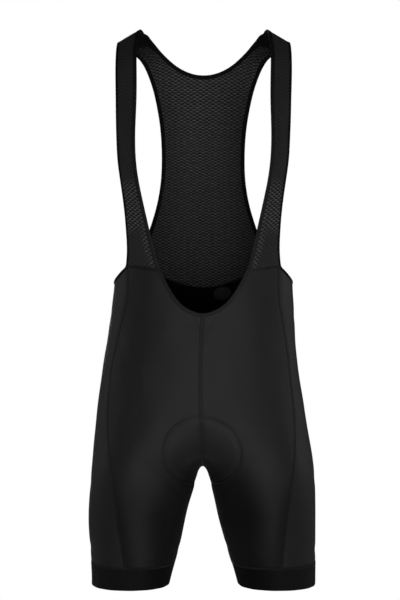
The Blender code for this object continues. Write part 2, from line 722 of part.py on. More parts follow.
# ---------------------------------------------------------------- assembly
def build():
    for old in list(bpy.data.objects):
        bpy.data.objects.remove(old)
    garment = bpy.data.collections.new("bib_shorts")
    bpy.context.scene.collection.children.link(garment)
    lycra = material("black_lycra", (0.012, 0.012, 0.013), 0.62)
    knit = material("black_knit", (0.014, 0.014, 0.015), 0.75)
    trim = material("black_elastic", (0.010, 0.010, 0.011), 0.70)
    band = material("gripper_elastic", (0.008, 0.008, 0.009), 0.55)
    foam = material("pad_foam", (0.030, 0.030, 0.032), 0.90)
    satin = material("label_satin", (0.010, 0.010, 0.010), 0.45)

    edges = Edges()
    strap = strap_rows(edges)
    bib = bib_back_rows(edges)
    front = front_rows(edges, strap[-1])
    flank = side_rows(edges, front[0][-1].point.z)
    seat = back_rows(edges, bib[0])
    gripper = gripper_rows()
    for name, side in (("left", 1), ("right", -1)):
        add(f"front_{name}", wall(f"front_{name}", front, LYCRA, side=side), lycra, garment)
        add(f"side_{name}", wall(f"side_{name}", flank, LYCRA, side=side), lycra, garment)
        add(f"back_{name}", wall(f"back_{name}", seat, LYCRA, side=side), lycra, garment)
        add(f"strap_{name}", wall(f"strap_{name}", strap, KNIT, side=side), knit, garment)
        rim = [edges.armhole, edges.armhole_seat]
        mesh = wall(f"armhole_binding_{name}", rim, TRIM, TRIM_PROUD, side, ring=True)
        add(f"armhole_binding_{name}", mesh, trim, garment)
        mesh = wall(f"gripper_{name}", gripper, BAND, TRIM_PROUD, side, ring=True)
        add(f"gripper_{name}", mesh, band, garment)

    lower = len(BACK_ARMHOLE)
    mirrored(add("bib_back", wall("bib_back", bib, KNIT, middle_rows=lower + 1), knit, garment))
    front_band = [list(pair) for pair in zip(edges.neck, edges.neck_seat)][::-1]
    front_band[-1] = [nudged(spot, Vector((0, -SEAM_GAP / 2, 0))) for spot in front_band[-1]]
    mesh = wall("front_neck_band", front_band, TRIM, TRIM_PROUD, open_first_row=True)
    mirrored(add("front_neck_band", mesh, trim, garment))
    back_band = [list(pair) for pair in zip(edges.back_neck, edges.back_neck_seat)]
    back_band[-1] = [nudged(spot, Vector((0, SEAM_GAP / 2, 0))) for spot in back_band[-1]]
    mesh = wall("back_neck_binding", back_band, TRIM, TRIM_PROUD, open_first_row=True)
    mirrored(add("back_neck_binding", mesh, trim, garment))
    pad = sunk(pad_rows(), LYCRA + PAD_GAP)
    mesh = wall("chamois", pad, pad_depth(len(pad)), middle_rows=len(pad))
    mirrored(add("chamois", mesh, foam, garment))
    add("label", wall("label", sunk(label_rows(), LYCRA + 2 * SEAM_GAP), LABEL_WALL), satin, garment)
    lean(garment)


build()
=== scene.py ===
"""Cycling bib shorts: the cloth, seams, stitching, pad and stage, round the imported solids.

Metres. +X is the wearer's left, -Y the front, +Z up, and the shoulder crowns are at height 0.
"""
import math
from collections import namedtuple
from functools import cache

import bpy
import numpy as np
from bpy.props import FloatProperty, FloatVectorProperty, PointerProperty
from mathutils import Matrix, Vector


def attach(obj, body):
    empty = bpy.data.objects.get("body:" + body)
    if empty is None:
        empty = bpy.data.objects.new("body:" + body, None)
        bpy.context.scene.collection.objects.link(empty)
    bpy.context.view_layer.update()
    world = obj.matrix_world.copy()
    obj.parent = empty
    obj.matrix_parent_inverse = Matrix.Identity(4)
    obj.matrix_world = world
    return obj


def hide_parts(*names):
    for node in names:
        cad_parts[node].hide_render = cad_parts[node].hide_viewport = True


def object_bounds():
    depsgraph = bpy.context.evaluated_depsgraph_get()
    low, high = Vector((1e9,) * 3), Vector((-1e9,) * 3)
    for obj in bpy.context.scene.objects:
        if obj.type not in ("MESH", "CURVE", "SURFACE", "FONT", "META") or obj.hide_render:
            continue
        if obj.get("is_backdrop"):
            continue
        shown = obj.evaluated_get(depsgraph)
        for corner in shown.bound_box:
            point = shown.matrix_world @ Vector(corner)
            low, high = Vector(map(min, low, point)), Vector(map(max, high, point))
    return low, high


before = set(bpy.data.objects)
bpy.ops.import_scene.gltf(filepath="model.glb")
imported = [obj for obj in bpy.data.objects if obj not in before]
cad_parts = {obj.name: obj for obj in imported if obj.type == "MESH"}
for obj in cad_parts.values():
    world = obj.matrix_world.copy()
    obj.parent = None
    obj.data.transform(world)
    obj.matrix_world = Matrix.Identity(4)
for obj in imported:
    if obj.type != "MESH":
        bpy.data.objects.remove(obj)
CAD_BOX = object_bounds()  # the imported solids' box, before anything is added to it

bl_info = {
    "name": "Cycling bib shorts",
    "version": (1, 0, 0),
    "blender": (4, 5, 0),
    "location": "View3D > Sidebar > Bib shorts",
    "description": "Makes the cloth, seams and stitching of a pair of cycling bib shorts",
    "category": "Object",
}


# ------ the figure's tables
def table(columns, *rows):
    """A short table whose rows are read by column name."""
    row_type = namedtuple("Row", columns)
    return [row_type(*row) for row in rows]


SIDES = {1: "left", -1: "right"}
CROTCH = -0.7100
CROTCH_ROUND = 0.010  # how softly the two halves turn in to each other
GRIPPER_TOP = -0.8675
HEM = -0.9030
JOIN = -0.4850  # from here down the panels' rows are level
ROWS_ABOVE_JOIN = 33
ARCH_REACH = 0.016  # above and below the crotch, where the rows are closest together
SECTIONS = table(  # one half of the body: its inner and outer side, its front and its back
    "height inner outer front back squareness",
    (-0.100, -0.1720, 0.1720, -0.096, 0.088, 2.60),
    (-0.200, -0.1700, 0.1700, -0.124, 0.104, 2.60),
    (-0.280, -0.1630, 0.1630, -0.129, 0.100, 2.50),
    (-0.350, -0.1520, 0.1520, -0.126, 0.092, 2.40),
    (-0.410, -0.1462, 0.1462, -0.121, 0.087, 2.35),
    (-0.436, -0.1480, 0.1480, -0.120, 0.088, 2.35),
    (-0.469, -0.1518, 0.1518, -0.119, 0.093, 2.35),
    (-0.502, -0.1545, 0.1545, -0.118, 0.101, 2.35),
    (-0.535, -0.1594, 0.1594, -0.117, 0.111, 2.35),
    (-0.568, -0.1640, 0.1645, -0.115, 0.121, 2.35),
    (-0.601, -0.1480, 0.1692, -0.112, 0.128, 2.35),
    (-0.634, -0.1060, 0.1738, -0.108, 0.130, 2.30),
    (-0.667, -0.0520, 0.1784, -0.103, 0.126, 2.25),
    (-0.690, -0.0120, 0.1812, -0.099, 0.120, 2.20),
    (-0.710, 0.0100, 0.1835, -0.096, 0.114, 2.20),
    (-0.733, 0.0162, 0.1856, -0.093, 0.106, 2.15),
    (-0.766, 0.0232, 0.1871, -0.090, 0.095, 2.15),
    (-0.799, 0.0300, 0.1873, -0.087, 0.086, 2.15),
    (-0.832, 0.0384, 0.1860, -0.084, 0.078, 2.15),
    (-0.865, 0.0476, 0.1846, -0.080, 0.071, 2.15),
    (-0.910, 0.0600, 0.1838, -0.075, 0.065, 2.15),
)
WHOLE_ABOVE = -0.560  # above this height one oval is the whole body
PARTING = (0.600, 0.690)  # how far down the fold between the two halves begins and is full
CHEST_SIDE = table(  # the side line in front of the crown
    "depth height",
    (-0.124, -0.2), (-0.11, -0.14), (-0.09, -0.09), (-0.067, -0.05), (-0.042, -0.021),
    (-0.021, -0.005),
)
BLADE_SIDE = table(  # the side line behind the crown
    "depth height",
    (0.021, -0.005), (0.041, -0.019), (0.061, -0.043), (0.08, -0.08), (0.096, -0.135),
    (0.104, -0.2),
)
SIDE_BELOW = (-0.270, -0.340, -0.400, -0.460, -0.520)  # heights where it follows the sections
SHOULDER_SLOPE = 0.60  # fall of the shoulder for each metre outwards
SHOULDER_START = 0.080  # how far out the fall begins
SHOULDER_MIDDLE = 0.123  # how far out the shoulder is as high as the side line
SHOULDER_REACH = (0.060, 0.210)  # along the side line, where the shoulder's form fades away
SHOULDER_SEAM = 0.024  # along the side line, behind the crown
CROWN = table(  # the strap's two edges over the shoulder
    "along inner outer",
    (SHOULDER_SEAM, 0.0990, 0.1395), (0.0, 0.1035, 0.1420), (-0.018, 0.1055, 0.1425),
)
FRONT_NECKLINE = table(  # from the crown of the shoulder to the end of the strap
    "across height",
    (0.1065, -0.006), (0.1085, -0.024), (0.1085, -0.046), (0.1075, -0.08), (0.1073, -0.115),
    (0.1083, -0.15), (0.1085, -0.185), (0.107, -0.213), (0.103, -0.243), (0.0965, -0.275),
    (0.0893, -0.307), (0.083, -0.335), (0.0765, -0.362), (0.068, -0.388),
)
FRONT_NECKLINE_LOWER = table(  # from the end of the strap to the middle
    "across height",
    (0.06, -0.404), (0.0505, -0.4205), (0.0385, -0.4365), (0.0265, -0.4465), (0.015, -0.4522),
    (0.006, -0.4547), (0.0, -0.455),
)
STRAP_OUTER = table(  # row for row beside FRONT_NECKLINE
    "across height",
    (0.143, -0.027), (0.143, -0.044), (0.1426, -0.064), (0.1418, -0.09), (0.141, -0.118),
    (0.1402, -0.15), (0.1388, -0.182), (0.137, -0.21), (0.133, -0.24), (0.1283, -0.272),
    (0.1247, -0.304), (0.1228, -0.332), (0.1222, -0.356), (0.124, -0.379),
)
BACK_NECKLINE = table(  # from the shoulder seam to the middle
    "across height",
    (0.0945, 0.006), (0.0885, 0.0), (0.0815, -0.0075), (0.074, -0.016), (0.0655, -0.0245),
    (0.0555, -0.0335), (0.044, -0.042), (0.0295, -0.0495), (0.015, -0.054), (0.0, -0.0555),
)
BACK_ARMHOLE = table(  # from the shoulder seam to the end of the back panel
    "across height",
    (0.1345, -0.0215), (0.1275, -0.0225), (0.1195, -0.0245), (0.112, -0.0285), (0.105, -0.036),
    (0.0985, -0.047), (0.0925, -0.061), (0.087, -0.077), (0.0825, -0.094), (0.0788, -0.112),
    (0.0755, -0.131), (0.0728, -0.154), (0.0713, -0.179), (0.071, -0.204), (0.072, -0.229),
    (0.0748, -0.253), (0.0795, -0.277), (0.0855, -0.299), (0.093, -0.322), (0.103, -0.346),
    (0.115, -0.368),
)
BACK_SEAM_MIDDLE = -0.4156  # height of the seam under the knitted back
ARMHOLE_FLOOR = table(  # share of the way across the side panel
    "share height",
    (0.0, -0.379), (0.14, -0.391), (0.3, -0.401), (0.47, -0.4055), (0.64, -0.403),
    (0.82, -0.39), (1.0, -0.368),
)
FRONT_SEAM = table(  # between the front and the side panel
    "height across",
    (-0.365, 0.1208), (-0.382, 0.1211), (-0.43, 0.1222), (-0.48, 0.132), (-0.54, 0.143),
    (-0.62, 0.151), (-0.7, 0.148), (-0.76, 0.14), (-0.82, 0.131), (-0.91, 0.12),
)
BACK_SEAM = table(  # between the side and the back panel
    "height across",
    (-0.35, 0.106), (-0.371, 0.1123), (-0.4, 0.118), (-0.46, 0.124), (-0.55, 0.136),
    (-0.63, 0.146), (-0.7, 0.145), (-0.8, 0.135), (-0.91, 0.12),
)
LEAN = table(
    "height sideways",
    (-0.92, 0.0), (-0.86, -0.0008), (-0.8, -0.0025), (-0.75, -0.002), (-0.7, -0.002),
    (-0.65, -0.0036), (-0.6, -0.005), (-0.55, -0.0055), (-0.5, -0.0036), (-0.44, -0.0012),
    (-0.4, -0.0005), (-0.35, -0.0007), (-0.25, -0.001), (-0.15, -0.0006), (-0.05, 0.0),
    (0.05, 0.0),
)
PAD_LINE = table(  # the pad's rows, front to back: a negative reach is on the front
    "middle outline reach",
    (-0.622, -0.6225, -0.012), (-0.63, -0.632, -0.036), (-0.644, -0.649, -0.056),
    (-0.662, -0.672, -0.066), (-0.68, -0.696, -0.067), (-0.696, -0.72, -0.054),
    (-0.706, -0.737, -0.028), (-0.7091, -0.7415, -0.014), (-0.71, -0.743, 0.0),
    (-0.7091, -0.7415, 0.017), (-0.706, -0.737, 0.034), (-0.696, -0.72, 0.066),
    (-0.68, -0.698, 0.084), (-0.66, -0.674, 0.088), (-0.64, -0.65, 0.08),
    (-0.62, -0.626, 0.062), (-0.606, -0.609, 0.034), (-0.6, -0.6005, 0.012),
)
PAD_FRONT = table(  # the pad's sewn line where it shows on the front of the lycra
    "across height",
    (0.0, -0.622), (0.014, -0.6228), (0.03, -0.6285), (0.043, -0.636), (0.0535, -0.648),
    (0.0605, -0.6625), (0.0628, -0.6735), (0.0625, -0.688), (0.059, -0.7), (0.051, -0.713),
    (0.04, -0.724), (0.027, -0.732),
)
PAD_FOOT = -0.7430  # where that line crosses the inner leg
PAST_MIDDLE = -0.004  # how far past the middle the pad's outlines are closed
PAD_RISE, PAD_GROOVE = 0.0017, 0.0009  # how the pad shows through the lycra
LABEL_PLACE = (0.0325, -0.4260)  # across and height


# ------ curves
def ease(value, low, high):
    """From 0 to 1 between two values, with soft ends."""
    s = np.clip((np.asarray(value, float) - low) / (high - low), 0.0, 1.0)
    return s * s * (3 - 2 * s)


def spline(place, value):
    """A natural cubic spline through values at rising places."""
    place, value = np.asarray(place, float), np.asarray(value, float)
    step = np.diff(place)
    rise = np.diff(value) / step
    count = len(place)
    matrix = np.eye(count)
    right = np.zeros(count)
    for i in range(1, count - 1):
        matrix[i, i - 1 : i + 2] = step[i - 1], 2 * (step[i - 1] + step[i]), step[i]
        right[i] = 6 * (rise[i] - rise[i - 1])
    bend = np.linalg.solve(matrix, right)

    def at(where):
        where = np.clip(where, place[0], place[-1])
        i = np.clip(np.searchsorted(place, where) - 1, 0, count - 2)
        h = step[i]
        a, b = (place[i + 1] - where) / h, (where - place[i]) / h
        cubic = ((a**3 - a) * bend[i] + (b**3 - b) * bend[i + 1]) * h * h / 6
        return a * value[i] + b * value[i + 1] + cubic

    return at


def column(rows, wanted, key="height"):
    """One column of a table as a curve of another."""
    rows = sorted(rows, key=lambda row: getattr(row, key))
    return spline([getattr(row, key) for row in rows], [getattr(row, wanted) for row in rows])


INNER, OUTER = column(SECTIONS, "inner"), column(SECTIONS, "outer")
FRONT, BACK = column(SECTIONS, "front"), column(SECTIONS, "back")
SQUARENESS = column(SECTIONS, "squareness")
FRONT_SEAM_AT, BACK_SEAM_AT = column(FRONT_SEAM, "across"), column(BACK_SEAM, "across")
LEAN_AT = column(LEAN, "sideways")


def unit(vectors):
    """Vectors made one long."""
    return vectors / np.maximum(np.linalg.norm(vectors, axis=-1, keepdims=True), 1e-12)


def run_length(points):
    """How far each point of a polyline is from its start, along it."""
    return np.concatenate(([0.0], np.cumsum(np.linalg.norm(np.diff(points, axis=0), axis=1))))


def sampled(rows, place):
    """Rows of numbers read at places between them."""
    step = np.arange(len(rows))
    return np.stack([np.interp(place, step, rows[:, k]) for k in range(rows.shape[1])], 1)


def even(points, spacing):
    """Points along a polyline, evenly spaced; the second value is each point's place in it."""
    length = run_length(points)
    count = max(int(round(length[-1] / spacing)), 2)
    want = np.linspace(0.0, length[-1], count + 1)
    place = np.interp(want, length, np.arange(len(points)))
    return np.stack([np.interp(want, length, points[:, k]) for k in range(points.shape[1])], 1), place


def fine(points, count=12):
    """A smooth curve through points, with count steps between each two."""
    points = np.asarray(points, float)
    length = run_length(points)
    last = len(points) - 1
    want = np.interp(np.linspace(0, last, last * count + 1), np.arange(last + 1), length)
    return np.stack([spline(length, points[:, k])(want) for k in range(points.shape[1])], 1)


# ------ the figure's surface
def oval(height):
    """Centre and half sizes of one half's section, across and deep, and its squareness."""
    inner, outer = INNER(height), OUTER(height)
    inner = np.where(height > WHOLE_ABOVE, -outer, inner)
    front, back = FRONT(height), BACK(height)
    across = (inner + outer) / 2, (outer - inner) / 2
    deep = (front + back) / 2, (back - front) / 2
    return *across, *deep, SQUARENESS(height)


@cache
def half_loop(height, samples=420):
    """One half's section, from the centre front or inseam round to the centre back."""
    middle, half_width, depth_middle, half_depth, power = (float(v) for v in oval(height))
    crease = CROTCH_ROUND * float(ease(-height, *PARTING))
    start = min(max((crease - middle) / half_width, -1.0), 0.0)
    first = -math.asin(abs(start) ** (power / 2))
    turn = np.linspace(first, math.pi - first, samples)
    across = middle + half_width * np.sign(np.sin(turn)) * np.abs(np.sin(turn)) ** (2 / power)
    deep = depth_middle - half_depth * np.sign(np.cos(turn)) * np.abs(np.cos(turn)) ** (2 / power)
    across = np.sqrt(np.maximum(across**2 - crease**2, 0.0))
    run = np.concatenate(([0.0], np.cumsum(np.hypot(np.diff(across), np.diff(deep)))))
    return across, deep, run


@cache
def seam_runs(height):
    """Distance round the half section to the front and the back seam, and its whole length."""
    across, _, run = half_loop(height)
    widest = int(np.argmax(across))
    front = np.interp(FRONT_SEAM_AT(height), across[: widest + 1], run[: widest + 1])
    back = np.interp(-BACK_SEAM_AT(height), -across[widest:], run[widest:])
    return float(front), float(back), float(run[-1])


def run_at(across_wanted, height, back):
    """Distance round the half section to a place across it, on the front or on the back."""
    across, _, run = half_loop(height)
    widest = int(np.argmax(across))
    if back:
        return float(np.interp(-across_wanted, -across[widest:], run[widest:]))
    return float(np.interp(across_wanted, across[: widest + 1], run[: widest + 1]))


def lower(height, distance):
    """A point of the surface below the chest: its height and its distance round the section."""
    height = round(float(height), 6)
    across, deep, run = half_loop(height)
    return np.array([np.interp(distance, run, across), np.interp(distance, run, deep), height])


def lower_normal(height, distance):
    """The outward normal at a point of the surface below the chest."""
    step = 0.0015
    around = lower(height, distance + step) - lower(height, distance - step)
    up = lower(height + step, distance) - lower(height - step, distance)
    return unit(np.cross(around, up))


def side_line():
    """The figure's line from the side, front to back over the crown, read by its length."""
    front = [(float(FRONT(height)), height) for height in SIDE_BELOW[::-1]]
    back = [(float(BACK(height)), height) for height in SIDE_BELOW]
    points = np.array(front + CHEST_SIDE + [(0.0, 0.0)] + BLADE_SIDE + back)
    length = run_length(points)
    length -= length[len(front) + len(CHEST_SIDE)]
    return spline(length, points[:, 0]), spline(length, points[:, 1]), length[0], length[-1]


SIDE_DEPTH, SIDE_HEIGHT, SIDE_FIRST, SIDE_LAST = side_line()


def upper(across, along):
    """Points of the surface over chest and shoulders: across, and along the side line."""
    across, along = np.broadcast_arrays(np.asarray(across, float), np.asarray(along, float))
    size = np.abs(across)
    fade = 1.0 - ease(np.abs(along), *SHOULDER_REACH)
    start = (size + SHOULDER_START + np.sqrt((size - SHOULDER_START) ** 2 + 0.012**2)) / 2
    height = SIDE_HEIGHT(along) + SHOULDER_SLOPE * (SHOULDER_MIDDLE - start) * fade
    _, half_width, depth_middle, half_depth, power = oval(np.minimum(height, SECTIONS[0].height))
    round_off = 1 - np.maximum(1 - np.minimum(size / half_width, 1.0) ** power, 0.0) ** (1 / power)
    side = np.where(along < 0, 1.0, -1.0)
    depth = SIDE_DEPTH(along) + side * half_depth * round_off * (1.0 - fade)
    section = depth_middle - side * half_depth * (1 - round_off)
    share = ease(-height, 0.200, 0.280)
    return np.stack([across, depth * (1 - share) + section * share, height], -1)


def upper_normal(across, along):
    """The outward normals at those points."""
    step = 0.0008
    sideways = upper(across + step, along) - upper(across - step, along)
    onwards = upper(across, along + step) - upper(across, along - step)
    return unit(np.cross(sideways, onwards))


def along_at(across, height, back):
    """Where on the side line the surface has this height."""
    across, height = np.asarray(across, float), np.asarray(height, float)
    low, high = np.zeros(across.shape), np.full(across.shape, SIDE_LAST if back else SIDE_FIRST)
    for _ in range(40):
        middle = (low + high) / 2
        above = upper(across, middle)[..., 2] > height
        low, high = np.where(above, middle, low), np.where(above, high, middle)
    return (low + high) / 2


def placed(rows, back):
    """A table's places across and in height, as places across and along."""
    across, height = np.array(rows).T
    return np.stack([across, along_at(across, height, back)], 1)


def on_side(side, *layers):
    """Points or normals of the wearer's left, moved to the side asked for."""
    return [layer * (side, 1, 1) for layer in layers]


def upper_cloth(across, along, side=1):
    """Points over chest and shoulders with their normals, on one side of the body."""
    return on_side(side, upper(across, along), upper_normal(across, along))


# ------ meshes from grids
def new_object(name, data):
    """An object in the scene."""
    made = bpy.data.objects.new(name, data)
    bpy.context.scene.collection.objects.link(made)
    return made


def mesh_object(name, points, faces, uv=None):
    """An object from points and faces, with its place in its mesh."""
    mesh = bpy.data.meshes.new(name)
    mesh.from_pydata(np.asarray(points).tolist(), [], [list(face) for face in faces])
    if uv is not None:
        corners = np.empty(len(mesh.loops), dtype=np.int32)
        mesh.loops.foreach_get("vertex_index", corners)
        layer = mesh.uv_layers.new(name="cloth")
        layer.data.foreach_set("uv", np.asarray(uv)[corners].astype(np.float32).ravel())
    mesh.shade_smooth()
    return new_object(name, mesh)


def quads(rows, columns, ring=False, flip=False, closed=False):
    """Corner numbers of a grid's faces, with its columns or its rows joined end to end where asked."""
    number = np.arange(rows * columns).reshape(rows, columns)
    if ring:
        number = np.concatenate([number, number[:, :1]], axis=1)
    if closed:
        number = np.concatenate([number, number[:1]], axis=0)
    a, b = number[:-1, :-1], number[1:, :-1]
    c, d = number[1:, 1:], number[:-1, 1:]
    faces = np.stack([a, b, c, d], -1).reshape(-1, 4)
    return faces[:, ::-1] if flip else faces


def facing_out(points, normals):
    """Whether the grid's own winding agrees with its outward normals."""
    down = np.gradient(points, axis=0)
    right = np.gradient(points, axis=1)
    return float(np.sum(np.cross(down, right) * normals)) > 0


def grid_normals(points, outward):
    """Normals of a grid's points, on the side of the rough outward vectors given."""
    normals = unit(np.cross(np.gradient(points, axis=0), np.gradient(points, axis=1)))
    return normals * (1.0 if np.sum(normals * outward) > 0 else -1.0)


def shell(name, outer, inner, uv, ring=False, lined=False):
    """A closed wall from two grids of points, with its rim. A lined one has a second cloth inside."""
    rows, columns = outer.shape[:2]
    flip = not facing_out(outer, outer - inner)
    count = rows * columns
    faces = [quads(rows, columns, ring, flip), quads(rows, columns, ring, not flip) + count]
    number = np.arange(count).reshape(rows, columns)
    edges = []
    if ring:
        for row, turn in ((0, False), (-1, True)):
            line = np.append(number[row], number[row][0])
            edges.append(line[::-1] if turn else line)
    else:
        edges.append(np.concatenate([number[0], number[1:, -1], number[-1, -2::-1], number[-2::-1, 0]]))
    for line in edges:
        rim = np.stack([line[:-1], line[1:], line[1:] + count, line[:-1] + count], -1)
        faces.append(rim[:, ::-1] if flip else rim)
    points = np.concatenate([outer.reshape(-1, 3), inner.reshape(-1, 3)])
    flat = np.asarray(uv).reshape(-1, 2)
    made = mesh_object(name, points, np.concatenate(faces), np.concatenate([flat, flat]))
    if lined:
        cloth = np.zeros(sum(len(part) for part in faces), dtype=np.int32)
        cloth[len(faces[0]) : len(faces[0]) + len(faces[1])] = 1
        made.data.polygons.foreach_set("material_index", cloth)
    return made


def lean(points):
    """The worn shorts lean a little sideways, the same at every point of one height."""
    points = np.array(points, float)
    points[..., 0] += LEAN_AT(points[..., 2])
    return points


# ------ how the worn cloth lies
# Soft troughs and ridges: place of the middle, the way it runs in degrees from level, half length,
# half width and depth (a negative depth is a ridge). side is front, back, left or right.
CREASES = table(
    "side across height bearing half_length half_width depth",
    ("front", 0.034, -0.742, 52.0, 0.050, 0.0050, 0.0012),
    ("front", 0.050, -0.757, 46.0, 0.045, 0.0060, -0.0007),
    ("front", -0.038, -0.745, -50.0, 0.048, 0.0050, 0.0011),
    ("front", -0.054, -0.766, -42.0, 0.050, 0.0065, -0.0007),
    ("front", 0.078, -0.700, 30.0, 0.050, 0.0100, 0.0004),
    ("front", -0.083, -0.708, -28.0, 0.054, 0.0100, 0.0004),
    ("front", 0.112, -0.560, 74.0, 0.075, 0.0100, 0.0007),
    ("front", -0.114, -0.545, -72.0, 0.080, 0.0100, 0.0008),
    ("front", 0.010, -0.476, 62.0, 0.016, 0.0035, 0.0008),
    ("front", -0.009, -0.474, -64.0, 0.015, 0.0035, 0.0008),
    ("front", 0.100, -0.835, 8.0, 0.038, 0.0070, 0.0006),
    ("front", -0.105, -0.828, -7.0, 0.040, 0.0070, 0.0006),
    ("back", 0.070, -0.722, 12.0, 0.060, 0.0075, 0.0026),
    ("back", -0.074, -0.726, -10.0, 0.062, 0.0075, 0.0025),
    ("back", 0.084, -0.744, 9.0, 0.050, 0.0080, 0.0013),
    ("back", -0.086, -0.747, -8.0, 0.052, 0.0080, 0.0013),
    ("back", 0.048, -0.700, 38.0, 0.034, 0.0060, 0.0012),
    ("back", -0.050, -0.703, -36.0, 0.034, 0.0060, 0.0012),
    ("back", 0.030, -0.505, 4.0, 0.070, 0.0110, 0.0012),
    ("back", -0.040, -0.531, -5.0, 0.075, 0.0120, 0.0011),
    ("back", 0.090, -0.810, 5.0, 0.045, 0.0070, 0.0012),
    ("back", -0.094, -0.802, -6.0, 0.046, 0.0075, 0.0012),
    ("back", 0.100, -0.842, -4.0, 0.040, 0.0060, 0.0009),
    ("back", -0.100, -0.838, 5.0, 0.042, 0.0060, 0.0009),
    ("left", 0.010, -0.455, 10.0, 0.060, 0.0110, 0.0010),
    ("right", 0.006, -0.462, -8.0, 0.060, 0.0110, 0.0010),
    ("left", 0.022, -0.735, -14.0, 0.050, 0.0100, 0.0009),
    ("right", 0.026, -0.728, 12.0, 0.052, 0.0100, 0.0009),
    ("left", -0.012, -0.845, 6.0, 0.040, 0.0065, 0.0008),
    ("right", -0.008, -0.840, -7.0, 0.040, 0.0065, 0.0008),
)
CREASE_FACES = {  # the axis that runs across a crease's side of the body, and the way that side faces
    "front": (0, (0, -1, 0)), "back": (0, (0, 1, 0)), "left": (1, (1, 0, 0)), "right": (1, (-1, 0, 0)),
}
RIPPLES = table(  # low waves that run along the cloth: direction and length of the wave, and height
    "x y z length depth",
    (1.0, 0.4, 0.35, 0.061, 0.00028),
    (-0.7, 0.9, 0.50, 0.043, 0.00020),
    (0.3, -0.5, 1.00, 0.083, 0.00032),
)


def lie(points, normals, strength):
    """How far the cloth stands off the figure at each point: its creases and its low ripples."""
    off = np.zeros(points.shape[:-1])
    for crease in CREASES:
        axis, way = CREASE_FACES[crease.side]
        facing = ease(normals @ np.array(way, float), 0.15, 0.60)
        right, up = points[..., axis] - crease.across, points[..., 2] - crease.height
        turn = math.radians(crease.bearing)
        along = right * math.cos(turn) + up * math.sin(turn)
        beside = up * math.cos(turn) - right * math.sin(turn)
        beside = beside + 0.12 * along**2 / crease.half_length  # a crease bends a little
        spread = (along / crease.half_length) ** 2 + (beside / crease.half_width) ** 2
        off -= facing * crease.depth * np.exp(-spread)
    for row in RIPPLES:
        way = np.array([row.x, row.y, row.z])
        off += row.depth * np.sin(points @ (way / np.linalg.norm(way)) * math.tau / row.length + row.x)
    return off * strength


def inside_outline(distance, height, outline):
    """Signed distance to a closed outline in a flat pattern, positive inside it."""
    x, y = np.asarray(distance), np.asarray(height)
    nearest = np.full(x.shape, 9.0)
    inside = np.zeros(x.shape, bool)
    for (ax, ay), (bx, by) in zip(outline, np.roll(outline, -1, axis=0)):
        length2 = (bx - ax) ** 2 + (by - ay) ** 2 + 1e-12
        t = np.clip(((x - ax) * (bx - ax) + (y - ay) * (by - ay)) / length2, 0, 1)
        nearest = np.minimum(nearest, np.hypot(x - ax - t * (bx - ax), y - ay - t * (by - ay)))
        crossing = (ay > y) != (by > y)
        inside ^= crossing & (x < (bx - ax) * (y - ay) / (by - ay + 1e-12) + ax)
    return np.where(inside, nearest, -nearest)


@cache
def pad_outline(back):
    """The pad's sewn outline on one face: distance from the middle or inseam, and height."""
    if back:
        line = fine([(abs(row.reach), row.outline) for row in PAD_LINE if row.reach >= 0], 8)[::-1]
    else:
        seen = fine(PAD_FRONT, 6)
        line = [(run_at(across, round(float(height), 6), False), height) for across, height in seen]
        line = np.concatenate([line, np.linspace(line[-1], (0.0, PAD_FOOT), 8)[1:]])
    ends = np.array([[PAST_MIDDLE, line[-1][1]], [PAST_MIDDLE, line[0][1]]])
    return np.concatenate([line, ends])


def pad_swell(points, flat, back):
    """The pad shows through the lycra: a low rise inside its outline and a groove where it is sewn."""
    if back:
        inside = inside_outline(np.abs(flat[..., 0]), flat[..., 1], pad_outline(True))
    else:
        ends = [(PAST_MIDDLE, PAD_FOOT), (PAST_MIDDLE, PAD_FRONT[0].height)]
        outline = np.concatenate([fine(PAD_FRONT, 6), ends])
        inside = inside_outline(points[..., 0], points[..., 2], outline)
    return PAD_RISE * ease(inside, -0.001, 0.012) - PAD_GROOVE * np.exp(-((inside / 0.0020) ** 2))


# ------ the lycra panels
NECK_BAND_WIDTH, BACK_NECK_WIDTH, ARMHOLE_WIDTH = 0.0065, 0.0045, 0.0040
INSIDE_WIDTH = 0.0068  # of the back neckline's and the armholes' bindings, on the wearer's side; wider than the outer face, so that the dark elastic also stands for painted shade beside it
UNDER_TRIM = 0.0015  # how far the cloth runs in under a binding's outer edge
UNDER_SEAM = 0.0012  # how far the knitted back runs down behind the seam above the seat
DRAWN_IN = 0.00045  # how deep the cloth is drawn in where it is sewn
GRIPPER_GAP = 0.0002  # from the lycra's end to the gripper's seam
STRAP_SEAM = ((0.0680, -0.3880), (0.1211, -0.3815))  # where the straps are sewn to the front


def level_rows():
    """Heights of the rows below the waist, closest together where the legs part."""
    above = np.linspace(JOIN, CROTCH + ARCH_REACH, 74)
    arch = CROTCH + ARCH_REACH * (np.arange(7, 0, -1) / 8) ** 2
    arch_below = CROTCH - ARCH_REACH * (np.arange(0, 9) / 8) ** 2
    below = np.linspace(CROTCH - ARCH_REACH, GRIPPER_TOP + GRIPPER_GAP, 48)[1:]
    return np.concatenate([above, arch, arch_below, below])


def front_tops():
    """The front panel's top edge, middle to side seam: places across and heights."""
    neck = fine([*FRONT_NECKLINE_LOWER[::-1], FRONT_NECKLINE[-1]], 8)
    neck[:, 1] -= UNDER_TRIM
    strap = np.linspace(STRAP_SEAM[0], STRAP_SEAM[1], 22)[1:]
    line = np.concatenate([neck[:-1], [STRAP_SEAM[0]], strap])
    return even(line, 0.0026)[0], False


def back_seam_height(across):
    """Height of the seam above the seat, which is lowest in the middle."""
    end = BACK_ARMHOLE[-1]
    return BACK_SEAM_MIDDLE + (end.height - BACK_SEAM_MIDDLE) * (across / end.across) ** 2


def back_tops():
    """The back panel's top edge, side seam to middle, along the seam above the seat."""
    across = np.linspace(BACK_ARMHOLE[-1].across - UNDER_TRIM, 0.0, 60)
    return np.stack([across, back_seam_height(across)], 1), True


